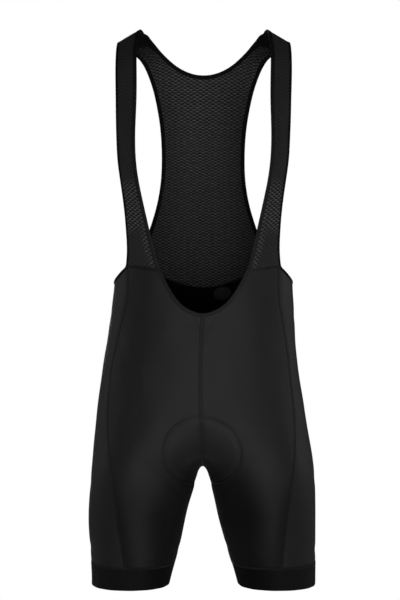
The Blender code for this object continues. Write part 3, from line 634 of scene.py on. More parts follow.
@cache
def panel(name, side):
    """A lycra panel on one side of the body: its points, outward normals and flat pattern."""
    if name == "side":
        shares = np.linspace(0.0, 1.0, 62)
        heights = column(ARMHOLE_FLOOR, "height", "share")(shares) - UNDER_TRIM
    else:
        line, back = front_tops() if name == "front" else back_tops()
        heights = line[:, 1]
        shares = []
        for across, height in line:
            run = run_at(across, round(height, 6), back)
            front, rear, whole = seam_runs(round(height, 6))
            shares.append((run - rear) / (whole - rear) if back else run / front)
        shares = np.clip(np.array(shares), 0.0, 1.0)
        shares[0], shares[-1] = 0.0, 1.0
    grid = [[(height + (JOIN - height) * part, share) for height, share in zip(heights, shares)]
            for part in np.linspace(0.0, 1.0, ROWS_ABOVE_JOIN + 1)[:-1]]
    grid += [[(height, share) for share in shares] for height in level_rows()]
    points, flat = [], []
    for row in grid:
        for height, share in row:
            height = round(float(height), 6)
            front, rear, whole = seam_runs(height)
            low, high = {"front": (0.0, front), "side": (front, rear), "back": (rear, whole)}[name]
            distance = low + (high - low) * share
            points.append(lower(height, distance))
            flat.append((distance - whole if name == "back" else distance, height))
    shape = (len(grid), len(shares))
    points = np.array(points).reshape(*shape, 3)
    flat = np.array(flat).reshape(*shape, 2)
    across, _, deep, _, _ = oval(points[..., 2])
    normals = grid_normals(points, points - np.stack([across, deep, points[..., 2]], -1))
    off = np.zeros(shape)
    if name != "side":
        edge = 0 if name == "front" else -1
        whole = points[:, edge, 2] >= CROTCH + 0.0004  # there the middle of the cloth faces straight on
        normals[whole, edge, 0] = 0.0
        normals = unit(normals)
        off += pad_swell(points, flat, name == "back")
    points, normals = on_side(side, points, normals)
    off += lie(points, normals, bpy.context.scene.bib_cloth.crease_strength)
    for edge in (points[:, :1], points[:, -1:]):
        off -= DRAWN_IN * np.exp(-((np.linalg.norm(points - edge, axis=-1) / 0.0035) ** 2))
    return points + normals * off[..., None], normals, flat


def from_side(flat):
    """The flat pattern measured from a panel's outer edge, so that the cloth's lines run unbroken."""
    far = int(np.argmax(np.abs(flat[0, :, 0])))
    return np.stack([flat[..., 0] - flat[:, far : far + 1, 0], flat[..., 1]], -1)


def make_panel(name, side):
    """One lycra panel as a thin closed wall that stands for its solid."""
    solid = f"{name}_{SIDES[side]}"
    points, normals, flat = panel(name, side)
    outer = lean(points)
    inner = lean(points - normals * bpy.context.scene.bib_cloth.lycra_thickness)
    made = shell(f"lycra_{solid}", outer, inner, from_side(flat), lined=True)
    mark_painted_shade_and_matt(made, name, side, points, flat)
    dress(made, "lycra", solid, jersey_cloth("lycra"), jersey_cloth("inside"))


LEGS_PAINTED_SHADE_AND_MATT = {  # how far down, where the inner leg's painted shade and matt finish begin to fade, where they end, and how strong they are
    1: (
        (0.69, 0.022, 0.086, 0.0), (0.73, 0.034, 0.092, 0.8), (0.78, 0.048, 0.092, 1.0),
        (0.84, 0.026, 0.08, 1.0),
    ),
    -1: (
        (0.69, 0.005, 0.07, 0.0), (0.73, 0.008, 0.08, 0.5), (0.78, 0.036, 0.078, 0.75),
        (0.84, 0.014, 0.058, 0.95),
    ),
}


def leg_painted_shade_and_matt(side, beside, down):
    """How much painted shade and matt finish the leg has at a distance from the inner leg's edge and a
    depth below the shoulder.
    """
    begins, ends, most = (np.interp(down, *np.array(LEGS_PAINTED_SHADE_AND_MATT[side])[:, [0, k]].T) for k in (1, 2, 3))
    return most * (1.0 - ease(beside, begins, ends))


def painted_shade_and_matt_below(down):
    """How much painted shade and matt finish the cloth has all round, by how far down it is."""
    return 0.30 * ease(down, 0.690, 0.780)


def mark_painted_shade_and_matt(made, name, side, points, flat):
    """Marks each point's painted shade, which also makes it matt: most beside the inner leg seam and round
    the crotch.
    """
    across, down = np.abs(points[..., 0]), -points[..., 2]
    edge, _, _ = panel("front", 1)
    edge = edge[crotch_row() :, 0]  # the edge of the gap between the legs, as it is seen from in front
    beside = np.hypot(across[..., None] - edge[:, 0], down[..., None] + edge[:, 2]).min(-1)
    # painted shade, also matt, beside the gap between the legs
    under = 1.0 - ease(beside, 0.011, 0.026)
    seam = 0.0
    if name == "front":  # a stripe of painted shade, also matt, beside the side seam
        from_seam = flat[:, -1:, 0] - flat[..., 0]
        seam = (0.10 + 0.38 * ease(down, 0.70, 0.80)) * np.exp(-(((from_seam - 0.005) / 0.011) ** 2))
    # clear is how much of the cloth is left without painted shade
    clear = (1.0 - leg_painted_shade_and_matt(side, beside, down)) * (1.0 - under) * (1.0 - painted_shade_and_matt_below(down)) * (1.0 - seam)
    mark(made, "matt", np.tile((1.0 - clear).ravel(), 2))


def mark(made, name, values):
    """Gives a piece a named value at each point, for its material or its node tree to read."""
    attribute = made.data.attributes.new(name, "FLOAT", "POINT")
    attribute.data.foreach_set("value", values.astype(np.float32))


def dress(made, slot_name, solid, *cloths):
    """Gives a finished piece its materials and its body, and hides the solid that it stands for, if any."""
    for cloth in cloths:
        made.data.materials.append(cloth)
    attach(made, "root")
    if solid:
        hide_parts(solid)


# ------ edges over chest and shoulders
def mirrored_line(half):
    """A whole line from its half on the wearer's left, whose first point is in the middle."""
    return np.concatenate([(half * np.array([-1.0, 1.0]))[:0:-1], half])


@cache
def neck_line():
    """The front neckline as places across and along, from one shoulder seam to the other."""
    crown = [(row.inner, row.along) for row in CROWN]
    half = np.concatenate([crown, placed(FRONT_NECKLINE + FRONT_NECKLINE_LOWER, False)])[::-1]
    return fine(mirrored_line(half), 10)


@cache
def back_neck_line():
    """The back neckline in the same way."""
    half = np.concatenate([placed(BACK_NECKLINE[::-1], True), [(CROWN[0].inner, CROWN[0].along)]])
    return fine(mirrored_line(half), 10)


@cache
def armhole_lines():
    """The armhole's edge on the back panel, and on the strap, from the shoulder seam down."""
    back = np.concatenate([[(CROWN[0].outer, CROWN[0].along)], placed(BACK_ARMHOLE, True)])
    front = np.concatenate([[(row.outer, row.along) for row in CROWN], placed(STRAP_OUTER, False)])
    return back, front


def armhole_loop():
    """Points and normals round the left armhole: down the back, along the floor, up the strap."""
    back, front = (fine(line, 10) for line in armhole_lines())
    shares = np.linspace(1.0, 0.0, 60)
    floor, floor_normals = [], []
    for share, height in zip(shares, column(ARMHOLE_FLOOR, "height", "share")(shares)):
        height = round(float(height), 6)
        low, high, _ = seam_runs(height)
        floor.append(lower(height, low + (high - low) * share))
        floor_normals.append(lower_normal(height, low + (high - low) * share))
    behind, in_front = upper_cloth(*back.T), upper_cloth(*front[::-1][:-1].T)
    floor = floor[2:-2], floor_normals[2:-2]
    return [np.concatenate(parts) for parts in zip(behind, floor, in_front)]


def joined(*layers):
    """Closed lines of values, each with its first one again at the end."""
    return [np.concatenate([values, values[:1]]) for values in layers]


def softened(values, count, closed):
    """Evens out small kinks along a line."""
    values = values.copy()
    for _ in range(count):
        if closed:
            values = (np.roll(values, 1, 0) + 2 * values + np.roll(values, -1, 0)) / 4
        else:
            values[1:-1] = (values[:-2] + 2 * values[1:-1] + values[2:]) / 4
    return values


# ------ bindings
BINDING_WALL = 0.0026
# A binding's section: share of its width in from the edge, and stand off the cloth as a share
# of its thickness, round from its inner edge on the outside to its inner edge on the inside.
BINDING_SECTION = (
    (1.0, 0.0), (0.97, 0.16), (0.88, 0.24), (0.74, 0.2), (0.66, 0.12), (0.58, 0.2), (0.38, 0.26),
    (0.18, 0.24), (0.06, 0.12), (0.0, -0.12), (0.0, -0.52), (0.06, -0.78), (0.18, -0.88), (0.38, -0.9),
    (0.58, -0.86), (0.66, -0.78), (0.74, -0.86), (0.88, -0.9), (0.97, -0.84), (1.0, -0.66),
)


def across_line(points, normals, closed=False):
    """The way across a line at each of its points, along the cloth."""
    if closed:
        tangent = unit(np.roll(points, -1, 0) - np.roll(points, 1, 0))
    else:
        tangent = unit(np.gradient(points, axis=0))
    return unit(np.cross(normals, tangent))


def swept(points, side, normals, section):
    """Rings of points along a line, from a section of places beside it and off the cloth."""
    return points[:, None] + side[:, None] * section[..., :1] + normals[:, None] * section[..., 1:]


def paired(columns, rows):
    """A grid's flat pattern from the places of its columns and its rows."""
    return np.stack(np.broadcast_arrays(columns[None, :], rows[:, None]), -1)


def binding(name, points, normals, width, closed, inward, inside_width=None):
    """An elastic folded over an edge. inward is a rough direction from the edge into the cloth."""
    side = across_line(points, normals, closed)
    side *= np.sign(np.sum(side * inward, -1, keepdims=True).sum() or 1.0)
    length = run_length(points)
    section = np.array(BINDING_SECTION)
    section[len(section) // 2 :, 0] *= (inside_width or width) / width
    section *= width, BINDING_WALL
    pucker = 1.0 + 0.10 * np.sin(length * math.tau / 0.0062) * np.sin(length * math.tau / 0.047)
    gathered = np.stack(np.broadcast_arrays(section[None, :, 0], section[:, 1] * pucker[:, None]), -1)
    rings = swept(points, side, normals, gathered)
    return tube(name, rings, paired(run_length(section), length), closed), side


def tube(name, rings, flat, closed):
    """A closed band from rings of points; open ends are capped."""
    rows, columns = rings.shape[:2]
    round_it = np.concatenate([rings, rings[:, :1]], 1)
    flip = not facing_out(round_it, round_it - rings.mean(1, keepdims=True))
    faces = quads(rows, columns, True, flip, closed).tolist()
    if not closed:
        first = list(range(columns))
        last = [rows * columns - columns + k for k in first]
        faces += [first[::-1] if flip else first, last if flip else last[::-1]]
    return mesh_object(name, lean(rings.reshape(-1, 3)), faces, np.asarray(flat).reshape(-1, 2))


# ------ node trees
def put(tree, socket, value):
    """Links an output to an input, or sets the input's own value."""
    if isinstance(value, bpy.types.NodeSocket):
        tree.links.new(value, socket)
    elif value is not None:
        socket.default_value = value


def node(tree, kind, inputs=(), **settings):
    """A node with its settings and its inputs, by name or number."""
    made = tree.nodes.new(kind)
    for key, value in settings.items():
        setattr(made, key, value)
    for key, value in dict(inputs).items():
        put(tree, made.inputs[key], value)
    return made


def maths(tree, operation, first, second=None, third=None):
    """The result of one sum on outputs or plain numbers."""
    made = tree.nodes.new("ShaderNodeMath")
    made.operation = operation
    for number, value in enumerate((first, second, third)):
        put(tree, made.inputs[number], value)
    return made.outputs[0]


def sockets(tree, way, *rows):
    """Named sockets of a node group: kind, name and default."""
    for kind, name, default in rows:
        made = tree.interface.new_socket(name, in_out=way, socket_type=f"NodeSocket{kind}")
        if default is not None:
            made.default_value = default


def times(tree, first, second):
    """One value times another."""
    return maths(tree, "MULTIPLY", first, second)


def geometry_tree(name, *inputs):
    """An empty geometry tree with named inputs."""
    tree = bpy.data.node_groups.new(name, "GeometryNodeTree")
    sockets(tree, "INPUT", ("Geometry", "Geometry", None), *inputs)
    sockets(tree, "OUTPUT", ("Geometry", "Geometry", None))
    return tree, tree.nodes.new("NodeGroupInput").outputs, tree.nodes.new("NodeGroupOutput").inputs


def finished(tree, geometry, cloth, out):
    """Ends a tree: instances made real, then the material."""
    real = node(tree, "GeometryNodeRealizeInstances", {"Geometry": geometry})
    dressed = node(tree, "GeometryNodeSetMaterial", {"Geometry": real.outputs[0], "Material": cloth})
    tree.links.new(dressed.outputs[0], out["Geometry"])


def worked(made, tree, **values):
    """Runs a tree on an object with these inputs and keeps the result as its plain mesh."""
    modifier = made.modifiers.new(tree.name, "NODES")
    modifier.node_group = tree
    for socket in tree.interface.items_tree:
        key = socket.name.replace(" ", "_").lower()
        if socket.in_out == "INPUT" and key in values:
            modifier[socket.identifier] = values[key]
    graph = bpy.context.evaluated_depsgraph_get()
    mesh = bpy.data.meshes.new_from_object(made.evaluated_get(graph))
    mesh.name = made.name
    made.modifiers.clear()
    made.data = mesh
    mesh.shade_smooth()
    return made


def noise(tree, place, scale, detail=2.0, roughness=0.5, colour=False):
    """A soft uneven value from 0 to 1, or three of them."""
    inputs = {"Vector": place, "Scale": scale, "Detail": detail, "Roughness": roughness}
    return node(tree, "ShaderNodeTexNoise", inputs).outputs[1 if colour else 0]


def wave(tree, place, period):
    """A cosine with this period."""
    return maths(tree, "COSINE", maths(tree, "DIVIDE", times(tree, place, math.tau), period))


def smooth_step(tree, value, low, high):
    """From 0 to 1 between two values, with soft ends."""
    inputs = {"Value": value, "From Min": low, "From Max": high}
    return node(tree, "ShaderNodeMapRange", inputs, interpolation_type="SMOOTHSTEP").outputs["Result"]


def marked(tree, name, kind):
    """The named value of a piece's points."""
    read = node(tree, "GeometryNodeInputNamedAttribute", {"Name": name}, data_type=kind)
    return read.outputs["Attribute"]


def knit_tree():
    """Turns a sheet into a knit of brick-laid eyelets and raised floats, on both faces of a wall."""
    tree, given, out = geometry_tree(
        "knit_sheet", ("Float", "Cell Width", 0.0106), ("Float", "Cell Height", 0.005),
        ("Float", "Relief", 0.0003), ("Float", "Thickness", 0.001), ("Material", "Cloth", None),
    )
    body = marked(tree, "body", "FLOAT")
    place = node(tree, "ShaderNodeSeparateXYZ", {"Vector": marked(tree, "cloth", "FLOAT_VECTOR")}).outputs
    across = wave(tree, place["X"], given["Cell Width"])
    along = wave(tree, place["Y"], given["Cell Height"])
    rise = times(tree, times(tree, across, along), -1.0)
    rise = times(tree, times(tree, rise, given["Relief"]), body)
    drop = times(tree, given["Thickness"], body)
    stand = node(tree, "GeometryNodeInputNormal").outputs[0]

    def moved(amount):
        offset = node(tree, "ShaderNodeVectorMath", {0: stand, "Scale": amount}, operation="SCALE")
        inputs = {"Geometry": given["Geometry"], "Offset": offset.outputs[0]}
        return node(tree, "GeometryNodeSetPosition", inputs).outputs[0]

    outer = moved(rise)
    inner = moved(times(tree, maths(tree, "ADD", drop, rise), -1.0))
    inner = node(tree, "GeometryNodeFlipFaces", {"Mesh": inner}).outputs[0]
    both = node(tree, "GeometryNodeJoinGeometry")
    for layer in (outer, inner):
        tree.links.new(layer, both.inputs[0])
    closed = node(tree, "GeometryNodeMergeByDistance", {"Geometry": both.outputs[0], "Distance": 0.00002})
    finished(tree, closed.outputs[0], given["Cloth"], out)
    return tree


def stitch_tree():
    """Sews stitches along lines: each is a short thread that lies on the cloth."""
    tree, given, out = geometry_tree(
        "stitches", ("Float", "Spacing", 0.0026), ("Float", "Length", 0.002), ("Float", "Thread", 0.0004),
        ("Float", "Slant", 0.0), ("Material", "Cloth", None),
    )
    line = node(tree, "GeometryNodeMeshToCurve", {"Mesh": given["Geometry"]}).outputs[0]
    spaced = {"Curve": line, "Length": given["Spacing"]}
    points = node(tree, "GeometryNodeCurveToPoints", spaced, mode="LENGTH")
    stand = marked(tree, "stand", "FLOAT_VECTOR")
    align = "FunctionNodeAlignRotationToVector"
    turn = node(tree, align, {"Vector": points.outputs["Tangent"]}, axis="X").outputs[0]
    turn = node(tree, align, {"Rotation": turn, "Vector": stand}, axis="Z", pivot_axis="X").outputs[0]
    odd = maths(tree, "MODULO", node(tree, "GeometryNodeInputIndex").outputs[0], 2.0)
    way = maths(tree, "SUBTRACT", 1.0, times(tree, odd, 2.0))
    slant = times(tree, given["Slant"], way)
    lay = node(tree, "FunctionNodeAxisAngleToRotation", {"Axis": (0, 0, 1), "Angle": slant}).outputs[0]
    both = {"Rotation": turn, "Rotate By": lay}
    turn = node(tree, "FunctionNodeRotateRotation", both, rotation_space="LOCAL").outputs[0]
    long, wide = (maths(tree, "DIVIDE", given[name], 2.0) for name in ("Length", "Thread"))
    size = node(tree, "ShaderNodeCombineXYZ", {"X": long, "Y": wide, "Z": wide}).outputs[0]
    thread = node(tree, "GeometryNodeMeshIcoSphere", {"Radius": 1.0, "Subdivisions": 1}).outputs[0]
    sewn = node(
        tree, "GeometryNodeInstanceOnPoints",
        {"Points": points.outputs["Points"], "Instance": thread, "Rotation": turn, "Scale": size},
    )
    finished(tree, sewn.outputs[0], given["Cloth"], out)
    return tree


def sew(name, lines, cloth, slot_name, stitch=None, slant=0.0):
    """One piece of stitches along many lines, each a list of points and of normals.

    A stitch is its spacing, its length and the thread's width; the plain one is set in the panel.
    """
    plain = bpy.context.scene.bib_cloth
    spacing, length, thread = stitch or (plain.stitch_spacing, plain.stitch_length, plain.thread)
    points, edges, stands, count = [], [], [], 0
    for line, normals in lines:
        points.append(line)
        stands.append(normals)
        edges += [(count + k, count + k + 1) for k in range(len(line) - 1)]
        count += len(line)
    mesh = bpy.data.meshes.new(name)
    mesh.from_pydata(lean(np.concatenate(points)).tolist(), edges, [])
    stand = mesh.attributes.new("stand", "FLOAT_VECTOR", "POINT")
    stand.data.foreach_set("vector", np.concatenate(stands).astype(np.float32).ravel())
    made = new_object(name, mesh)
    worked(made, stitch_tree(), spacing=spacing, length=length, thread=thread, slant=slant, cloth=cloth)
    dress(made, slot_name, None)


# ------ the knitted pieces
FACING_END = 0.047  # along the shoulder, where the plain facing inside it ends
BACK_HALF_WIDTH = 0.142  # of the grid that the knitted back is cut from
STRAP_EDGE = 0.0007  # how far a strap's knit ends inside the strap's two edges


def knit_piece(name, solid, points, flat, keep, openness, shade, cloth, cell, relief, thickness):
    """A knitted piece from a grid of points: keep says which of them lie inside its edges."""
    rows, columns = keep.shape
    faces = quads(rows, columns, flip=not facing_out(points, keep_normals(points)))
    whole = keep.ravel()[faces].all(1)
    faces = faces[whole]
    used, faces = np.unique(faces, return_inverse=True)
    faces = faces.reshape(-1, 4)
    edges = np.sort(np.concatenate([faces[:, [k, (k + 1) % 4]] for k in range(4)]), axis=1)
    single, count = np.unique(edges, axis=0, return_counts=True)
    body = np.ones(len(used))
    body[np.unique(single[count == 1])] = 0.0
    made = mesh_object(name, lean(points.reshape(-1, 3)[used]), faces, flat.reshape(-1, 2)[used])
    area = sum(polygon.area for polygon in made.data.polygons)
    mark(made, "body", body)
    mark(made, "openness", openness.ravel()[used])
    mark(made, "shade", shade.ravel()[used])
    sizes = {"cell_width": cell[0], "cell_height": cell[1], "relief": relief, "thickness": thickness}
    worked(made, knit_tree(), cloth=cloth, **sizes)
    dress(made, "knit", solid)
    return made, area


def keep_normals(points):
    """Rough outward directions over chest and shoulders."""
    middle = points.copy()
    middle[..., 0] *= 0.2
    middle[..., 1] = 0.0
    middle[..., 2] = np.minimum(points[..., 2] - 0.02, -0.12)
    return points - middle


def back_outline():
    """The knitted back panel's outline in its flat pattern, right round."""
    armhole = fine(armhole_lines()[0], 6)
    across = np.linspace(BACK_ARMHOLE[-1].across, 0.0, 24)[1:]
    seam = np.stack([across, along_at(across, back_seam_height(across) - UNDER_SEAM, True)], 1)
    half = np.concatenate([armhole, seam])
    return np.concatenate([half, (half * (-1, 1))[::-1][1:], back_neck_line()])


def back_edge(along):
    """How far out the knitted back reaches at places along it."""
    return np.interp(along, *np.sort(fine(armhole_lines()[0], 4)[6:, ::-1], axis=0).T)


def make_back():
    """The knitted back, with both back straps, from the shoulder seams to the seam above the seat."""
    knit = bpy.context.scene.bib_knit
    cell = (knit.back_cell_width, knit.back_cell_height)
    across_step, along_step = cell[0] / 7, cell[1] / 5
    outline = back_outline()
    count = math.ceil(BACK_HALF_WIDTH / across_step)
    across = np.arange(-count, count + 1) * across_step
    along = np.arange(SHOULDER_SEAM - 0.002, outline[:, 1].max() + 0.004, along_step)
    u, v = np.meshgrid(across, along)
    keep = inside_outline(u, v, outline) > 0.0006
    points, normals = upper_cloth(u, v)
    points = points + normals * knit_lie(u, v)[..., None]
    towards_edge = ease(np.abs(u) / back_edge(v), 0.15, 1.05)
    shade = 1.0 - np.where(u > 0, 0.72, 0.42) * towards_edge * ease(v, 0.09, 0.20)
    shade *= 0.30 + 0.70 * ease(v, 0.045, 0.125)
    made, area = knit_piece(
        "knit_back", "bib_back", points, np.stack([u, v], -1), keep, np.ones(keep.shape), shade,
        knit_cloth("back_knit", cell), cell, knit.relief, knit.thickness,
    )


def knit_lie(across, along):
    """How the knit lies: gathers by the shoulder seams and soft waves beside its bindings."""
    edge = np.exp(-(((np.abs(across) - 0.117 + 0.30 * (along - SHOULDER_SEAM)) / 0.011) ** 2))
    reach = ease(along, FACING_END - 0.001, FACING_END + 0.010) * (1.0 - ease(along, 0.075, 0.110))
    off = 0.0014 * edge * reach * np.sin(along * math.tau / 0.0078 + across * 60)
    beside = np.abs(across) - back_edge(along)
    soft = np.sin(along * math.tau / 0.021 + 1.0 + np.sign(across))
    off += 0.0006 * np.exp(-((beside / 0.010) ** 2)) * soft
    off += 0.0009 * ease(along, 0.12, 0.30) * np.sin(across * math.tau / 0.085 + along * 9 + 0.6)
    return off * bpy.context.scene.bib_cloth.crease_strength


@cache
def strap_spans():
    """The strap's inner and outer edge, sample for sample, as places across and along."""
    inner = np.concatenate([[(row.inner, row.along) for row in CROWN], placed(FRONT_NECKLINE, False)])
    return fine(inner, 14), fine(armhole_lines()[1], 14)


def make_strap(side):
    """A front strap, knitted finer than the back, from the shoulder seam to the front panel."""
    word = SIDES[side]
    knit = bpy.context.scene.bib_knit
    cell = (knit.strap_cell_width, knit.strap_cell_height)
    inner, outer = strap_spans()
    _, place = even(upper(*((inner + outer) / 2).T), cell[1] / 6)
    first, last = sampled(inner, place), sampled(outer, place)
    width = np.linalg.norm(upper(*last.T) - upper(*first.T), axis=1)
    across = np.arange(STRAP_EDGE, width.max(), cell[0] / 7)
    share = across[None, :] / width[:, None]
    spots = first[:, None] + (last - first)[:, None] * np.minimum(share, 1.0)[..., None]
    points, normals = upper_cloth(spots[..., 0], spots[..., 1])
    along = np.arange(len(place)) * cell[1] / 6
    flat = paired(across, along)
    keep = across[None, :] < width[:, None] - STRAP_EDGE
    off = 0.0005 * np.sin(along * math.tau / 0.090 + side)[:, None] * np.sin(share * math.pi)
    points = points + normals * (off * bpy.context.scene.bib_cloth.crease_strength)[..., None]
    down = -points[..., 2]
    wide = ease(down, 0.235, 0.262) * (1.0 - ease(down - 0.35 * across[None, :], 0.305, 0.322))
    inner_edge = ease(down, 0.30, 0.325) * (1.0 - ease(across[None, :], 0.014, 0.020))
    openness = np.maximum(wide, 0.8 * inner_edge)
    shade = 1.0 + 0.4 * ease(-down, -0.12, -0.02)
    points[..., 0] *= side
    made, area = knit_piece(
        f"knit_strap_{word}", f"strap_{word}", points, flat, keep, openness, shade,
        knit_cloth("strap_knit", cell), cell, knit.relief * 0.5, knit.thickness,
    )


# ------ trims
HEM_STITCH = (0.0021, 0.0019, 0.00055)  # spacing, length and thread
CENTRE_STITCH = (0.0023, 0.0021, 0.0005)
COVER_LENGTH = 0.0034


def on_surface(line):
    """A line of places across and along as evenly spaced points with their normals."""
    _, place = even(upper(*line.T), 0.0026)
    return upper_cloth(*sampled(line, place).T)


def make_neck_bands():
    """The folded hem round the front neckline and the binding round the back one."""
    edges = []
    points, normals = on_surface(neck_line())
    outward = np.where(points[:, 2:] > -0.40, np.sign(points[:, :1]) * (1.0, 0.0, 0.0), (0.0, 0.0, -1.0))
    made, side = binding("neck_band_front", points, normals, NECK_BAND_WIDTH, False, outward)
    # painted shade, also matt, near the shoulders, where it dulls a glint
    mark(made, "matt", np.repeat(ease(points[:, 2], -0.10, -0.02), len(BINDING_SECTION)))
    dress(made, "trim", "front_neck_band", jersey_cloth("hem"))
    edges.append((points, normals, side, NECK_BAND_WIDTH))
    points, normals = on_surface(back_neck_line())
    down = np.broadcast_to((0.0, 0.0, -1.0), points.shape)
    made, side = binding("neck_binding_back", points, normals, BACK_NECK_WIDTH, False, down, INSIDE_WIDTH)
    dress(made, "trim", "back_neck_binding", jersey_cloth("trim"))
    edges.append((points, normals, side, BACK_NECK_WIDTH))
    return edges


def make_armholes():
    """The narrow elastic round each armhole."""
    edges = []
    loop, loop_normals = joined(*armhole_loop())
    for side, word in SIDES.items():
        points, place = even(loop, 0.0024)
        normals = sampled(loop_normals, place)
        points = softened(points[:-1], 3, True) * (side, 1, 1)
        normals = unit(softened(normals[:-1], 6, True)) * (side, 1, 1)
        inward = points - points.mean(0)
        made, way = binding(
            f"armhole_elastic_{word}", points, normals, ARMHOLE_WIDTH, True, inward, INSIDE_WIDTH
        )
        dress(made, "trim", f"armhole_binding_{word}", jersey_cloth("trim"))
        edges.append((*joined(points, normals, way), ARMHOLE_WIDTH))
    return edges


def sew_bindings(edges):
    """A row of stitches along each binding, close to its inner edge."""
    lines = [
        (points + side * (0.70 * width) + normals * 0.00062, normals)
        for points, normals, side, width in edges
    ]
    sew("stitches_bindings", lines, fine_cloth("thread"), "trim")
    points, normals, side, width = edges[0]
    low = points[:, 2] < -0.25
    edge = (points + side * (0.14 * width) + normals * 0.00055)[low], normals[low]
    sew("stitches_hem", [edge], fine_cloth("pale_thread"), "trim", HEM_STITCH)


GRIPPER_COLUMNS = 220
GRIPPER_PROFILE = (  # stand off the leg for each share of the way down the outside
    (0.0, -0.0001), (0.03, 0.0004), (0.08, 0.0006), (0.3, 0.0005), (0.7, 0.0005), (0.9, 0.0006),
    (0.96, 0.0005), (1.0, -0.0002),
)


def make_gripper(side):
    """The wide elastic band at the end of a leg, doubled at its lower edge."""
    word = SIDES[side]
    parts = np.linspace(0, 0.1, 6), np.linspace(0.1, 0.9, 18)[1:], np.linspace(0.9, 1, 6)[1:]
    shares = np.concatenate(parts)
    off = np.interp(shares, *np.array(GRIPPER_PROFILE).T)
    top = GRIPPER_TOP - 0.0003
    points, flat = [], []
    for share in shares:
        height = round(float(top + (HEM - top) * share), 6)
        distances = half_loop(height)[2][-1] * np.arange(GRIPPER_COLUMNS) / GRIPPER_COLUMNS
        points.append([lower(height, distance) for distance in distances])
        flat.append([(distance, height) for distance in distances])
    points, flat = np.array(points), np.array(flat)
    closed = np.concatenate([points[:, -1:], points, points[:, :1]], 1)
    normals = grid_normals(closed, closed - points.mean(1, keepdims=True))[:, 1:-1]
    points, normals = on_side(side, points, normals)
    ripple = 0.00025 * np.sin(flat[..., 0] * math.tau / 0.031 + 0.8 * side)
    ripple *= ease(shares, 0.2, 1.0)[:, None]
    outer = points + normals * (off[:, None] + ripple)[..., None]
    wall = bpy.context.scene.bib_cloth.gripper_thickness
    inner = points + normals * (ripple - wall + 0.2 * off[:, None])[..., None]
    made = shell(f"gripper_band_{word}", lean(outer), lean(inner), flat, ring=True)
    beside = np.abs(points[..., 0])
    # painted shade, also matt: some all round the band, most on the inner leg
    near = 0.3 + 0.7 * leg_painted_shade_and_matt(side, beside - beside.min(), -points[..., 2])
    mark(made, "matt", np.tile(near.ravel(), 2))
    dress(made, "gripper", f"gripper_{word}", jersey_cloth("gripper"))
    width = float(half_loop(HEM)[2][-1])


# ------ seams
SEAM_WIDTH = 0.0056
NEEDLE_ROW = 0.00155  # from a seam's middle to each of its two rows of needle stitches
PAD_SEAM_WIDTH, PAD_SEAM_SUNK = 0.0030, 0.0004
SEAM_SHAPES = {  # width and relief where a seam lies flatter than the others
    "centre": (0.0072, 0.5), "front": (SEAM_WIDTH, 0.35), "back": (SEAM_WIDTH, 0.6),
    "strap": (SEAM_WIDTH, 0.15), "gripper": (SEAM_WIDTH, 0.6),
}
SEAM_SECTION = (  # share of half its width, stand off the cloth
    (-1.0, -0.00045), (-0.93, 0.00005), (-0.76, 0.00034), (-0.46, 0.00042), (-0.14, 0.00034),
    (0.0, 0.00026), (0.14, 0.00034), (0.46, 0.00042), (0.76, 0.00034), (0.93, 0.00005),
    (1.0, -0.00045),
)


def seam_tape(name, points, normals, closed, width=SEAM_WIDTH, relief=1.0):
    """A flat sewn seam: two low welts with a groove between, lying over the two cloths' edges."""
    side = across_line(points, normals, closed)
    beside, off = np.array(SEAM_SECTION).T
    section = np.stack([beside * width / 2, off * np.where(off > 0, relief, 1.0)], -1)
    flat = paired(section[:, 0], run_length(points))
    made = tube(name, swept(points, side, normals, section), flat, closed)
    down = -points[:, 2]
    # painted shade, also matt: more lower down, and full along the inner leg seams
    near = 1.0 - (1.0 - painted_shade_and_matt_below(down)) * (1.0 - 0.48 * ease(down, 0.70, 0.80))
    if name.startswith("seam_inner"):
        near = np.ones(len(points))
    mark(made, "matt", np.repeat(near, len(SEAM_SECTION)))
    dress(made, "lycra", None, jersey_cloth("seam"))
    return side


def panel_edge(name, side, edge, first=0, last=None):
    """The sewn edge of a panel as a line with its normals, lifted back out to the surface."""
    column_number = {"start": 0, "end": -1}[edge]
    points, normals = (layer[first:last, column_number] for layer in panel(name, side)[:2])
    return points + normals * DRAWN_IN, unit(softened(normals, 4, False))


def evened(line, normals, spacing=0.003):
    """A line and its normals, evenly spaced."""
    points, place = even(line, spacing)
    return points, unit(sampled(normals, place))


def crotch_row():
    """The grid row at which the centre seam ends and the inner leg seams begin."""
    return ROWS_ABOVE_JOIN + int(np.argmin(np.abs(level_rows() - CROTCH)))


def seam_lines():
    """Every sewn line of the shorts by name: its points, its normals and whether it is closed."""
    lines = {}
    row = crotch_row()
    for side, word in SIDES.items():
        lines[f"front_{word}"] = (*evened(*panel_edge("front", side, "end")), False)
        lines[f"back_{word}"] = (*evened(*panel_edge("side", side, "end")), False)
        lines[f"inner_leg_{word}"] = (*evened(*panel_edge("front", side, "start", row + 1)), False)
    front, back = panel_edge("front", 1, "start", 0, row + 1), panel_edge("back", 1, "end", 0, row)
    line, normals = (np.concatenate([ahead, behind[::-1]]) for ahead, behind in zip(front, back))
    line[:, 0] = normals[:, 0] = 0.0
    lines["centre"] = (*evened(line[2:-2], unit(softened(unit(normals[2:-2]), 8, False))), False)
    return lines


def cross_seams():
    """The seams that run round: under the straps, under the knitted back, and over the grippers."""
    lines = {}
    for side, word in SIDES.items():
        across = np.linspace(STRAP_SEAM[0][0] + 0.004, STRAP_SEAM[1][0], 30)
        along = along_at(across, np.interp(across, *np.array(STRAP_SEAM).T), False)
        lines[f"strap_{word}"] = (*evened(*upper_cloth(across, along, side)), False)
        across = np.linspace(CROWN[0].inner + 0.0045, CROWN[0].outer - 0.003, 18)
        along = np.full(len(across), SHOULDER_SEAM)
        lines[f"shoulder_{word}"] = (*evened(*upper_cloth(across, along, side)), False)
    end = BACK_ARMHOLE[-1].across - 0.003
    across = np.linspace(-end, end, 90)
    along = along_at(np.abs(across), back_seam_height(across), True)
    lines["back"] = (*evened(*upper_cloth(across, along)), False)
    return lines


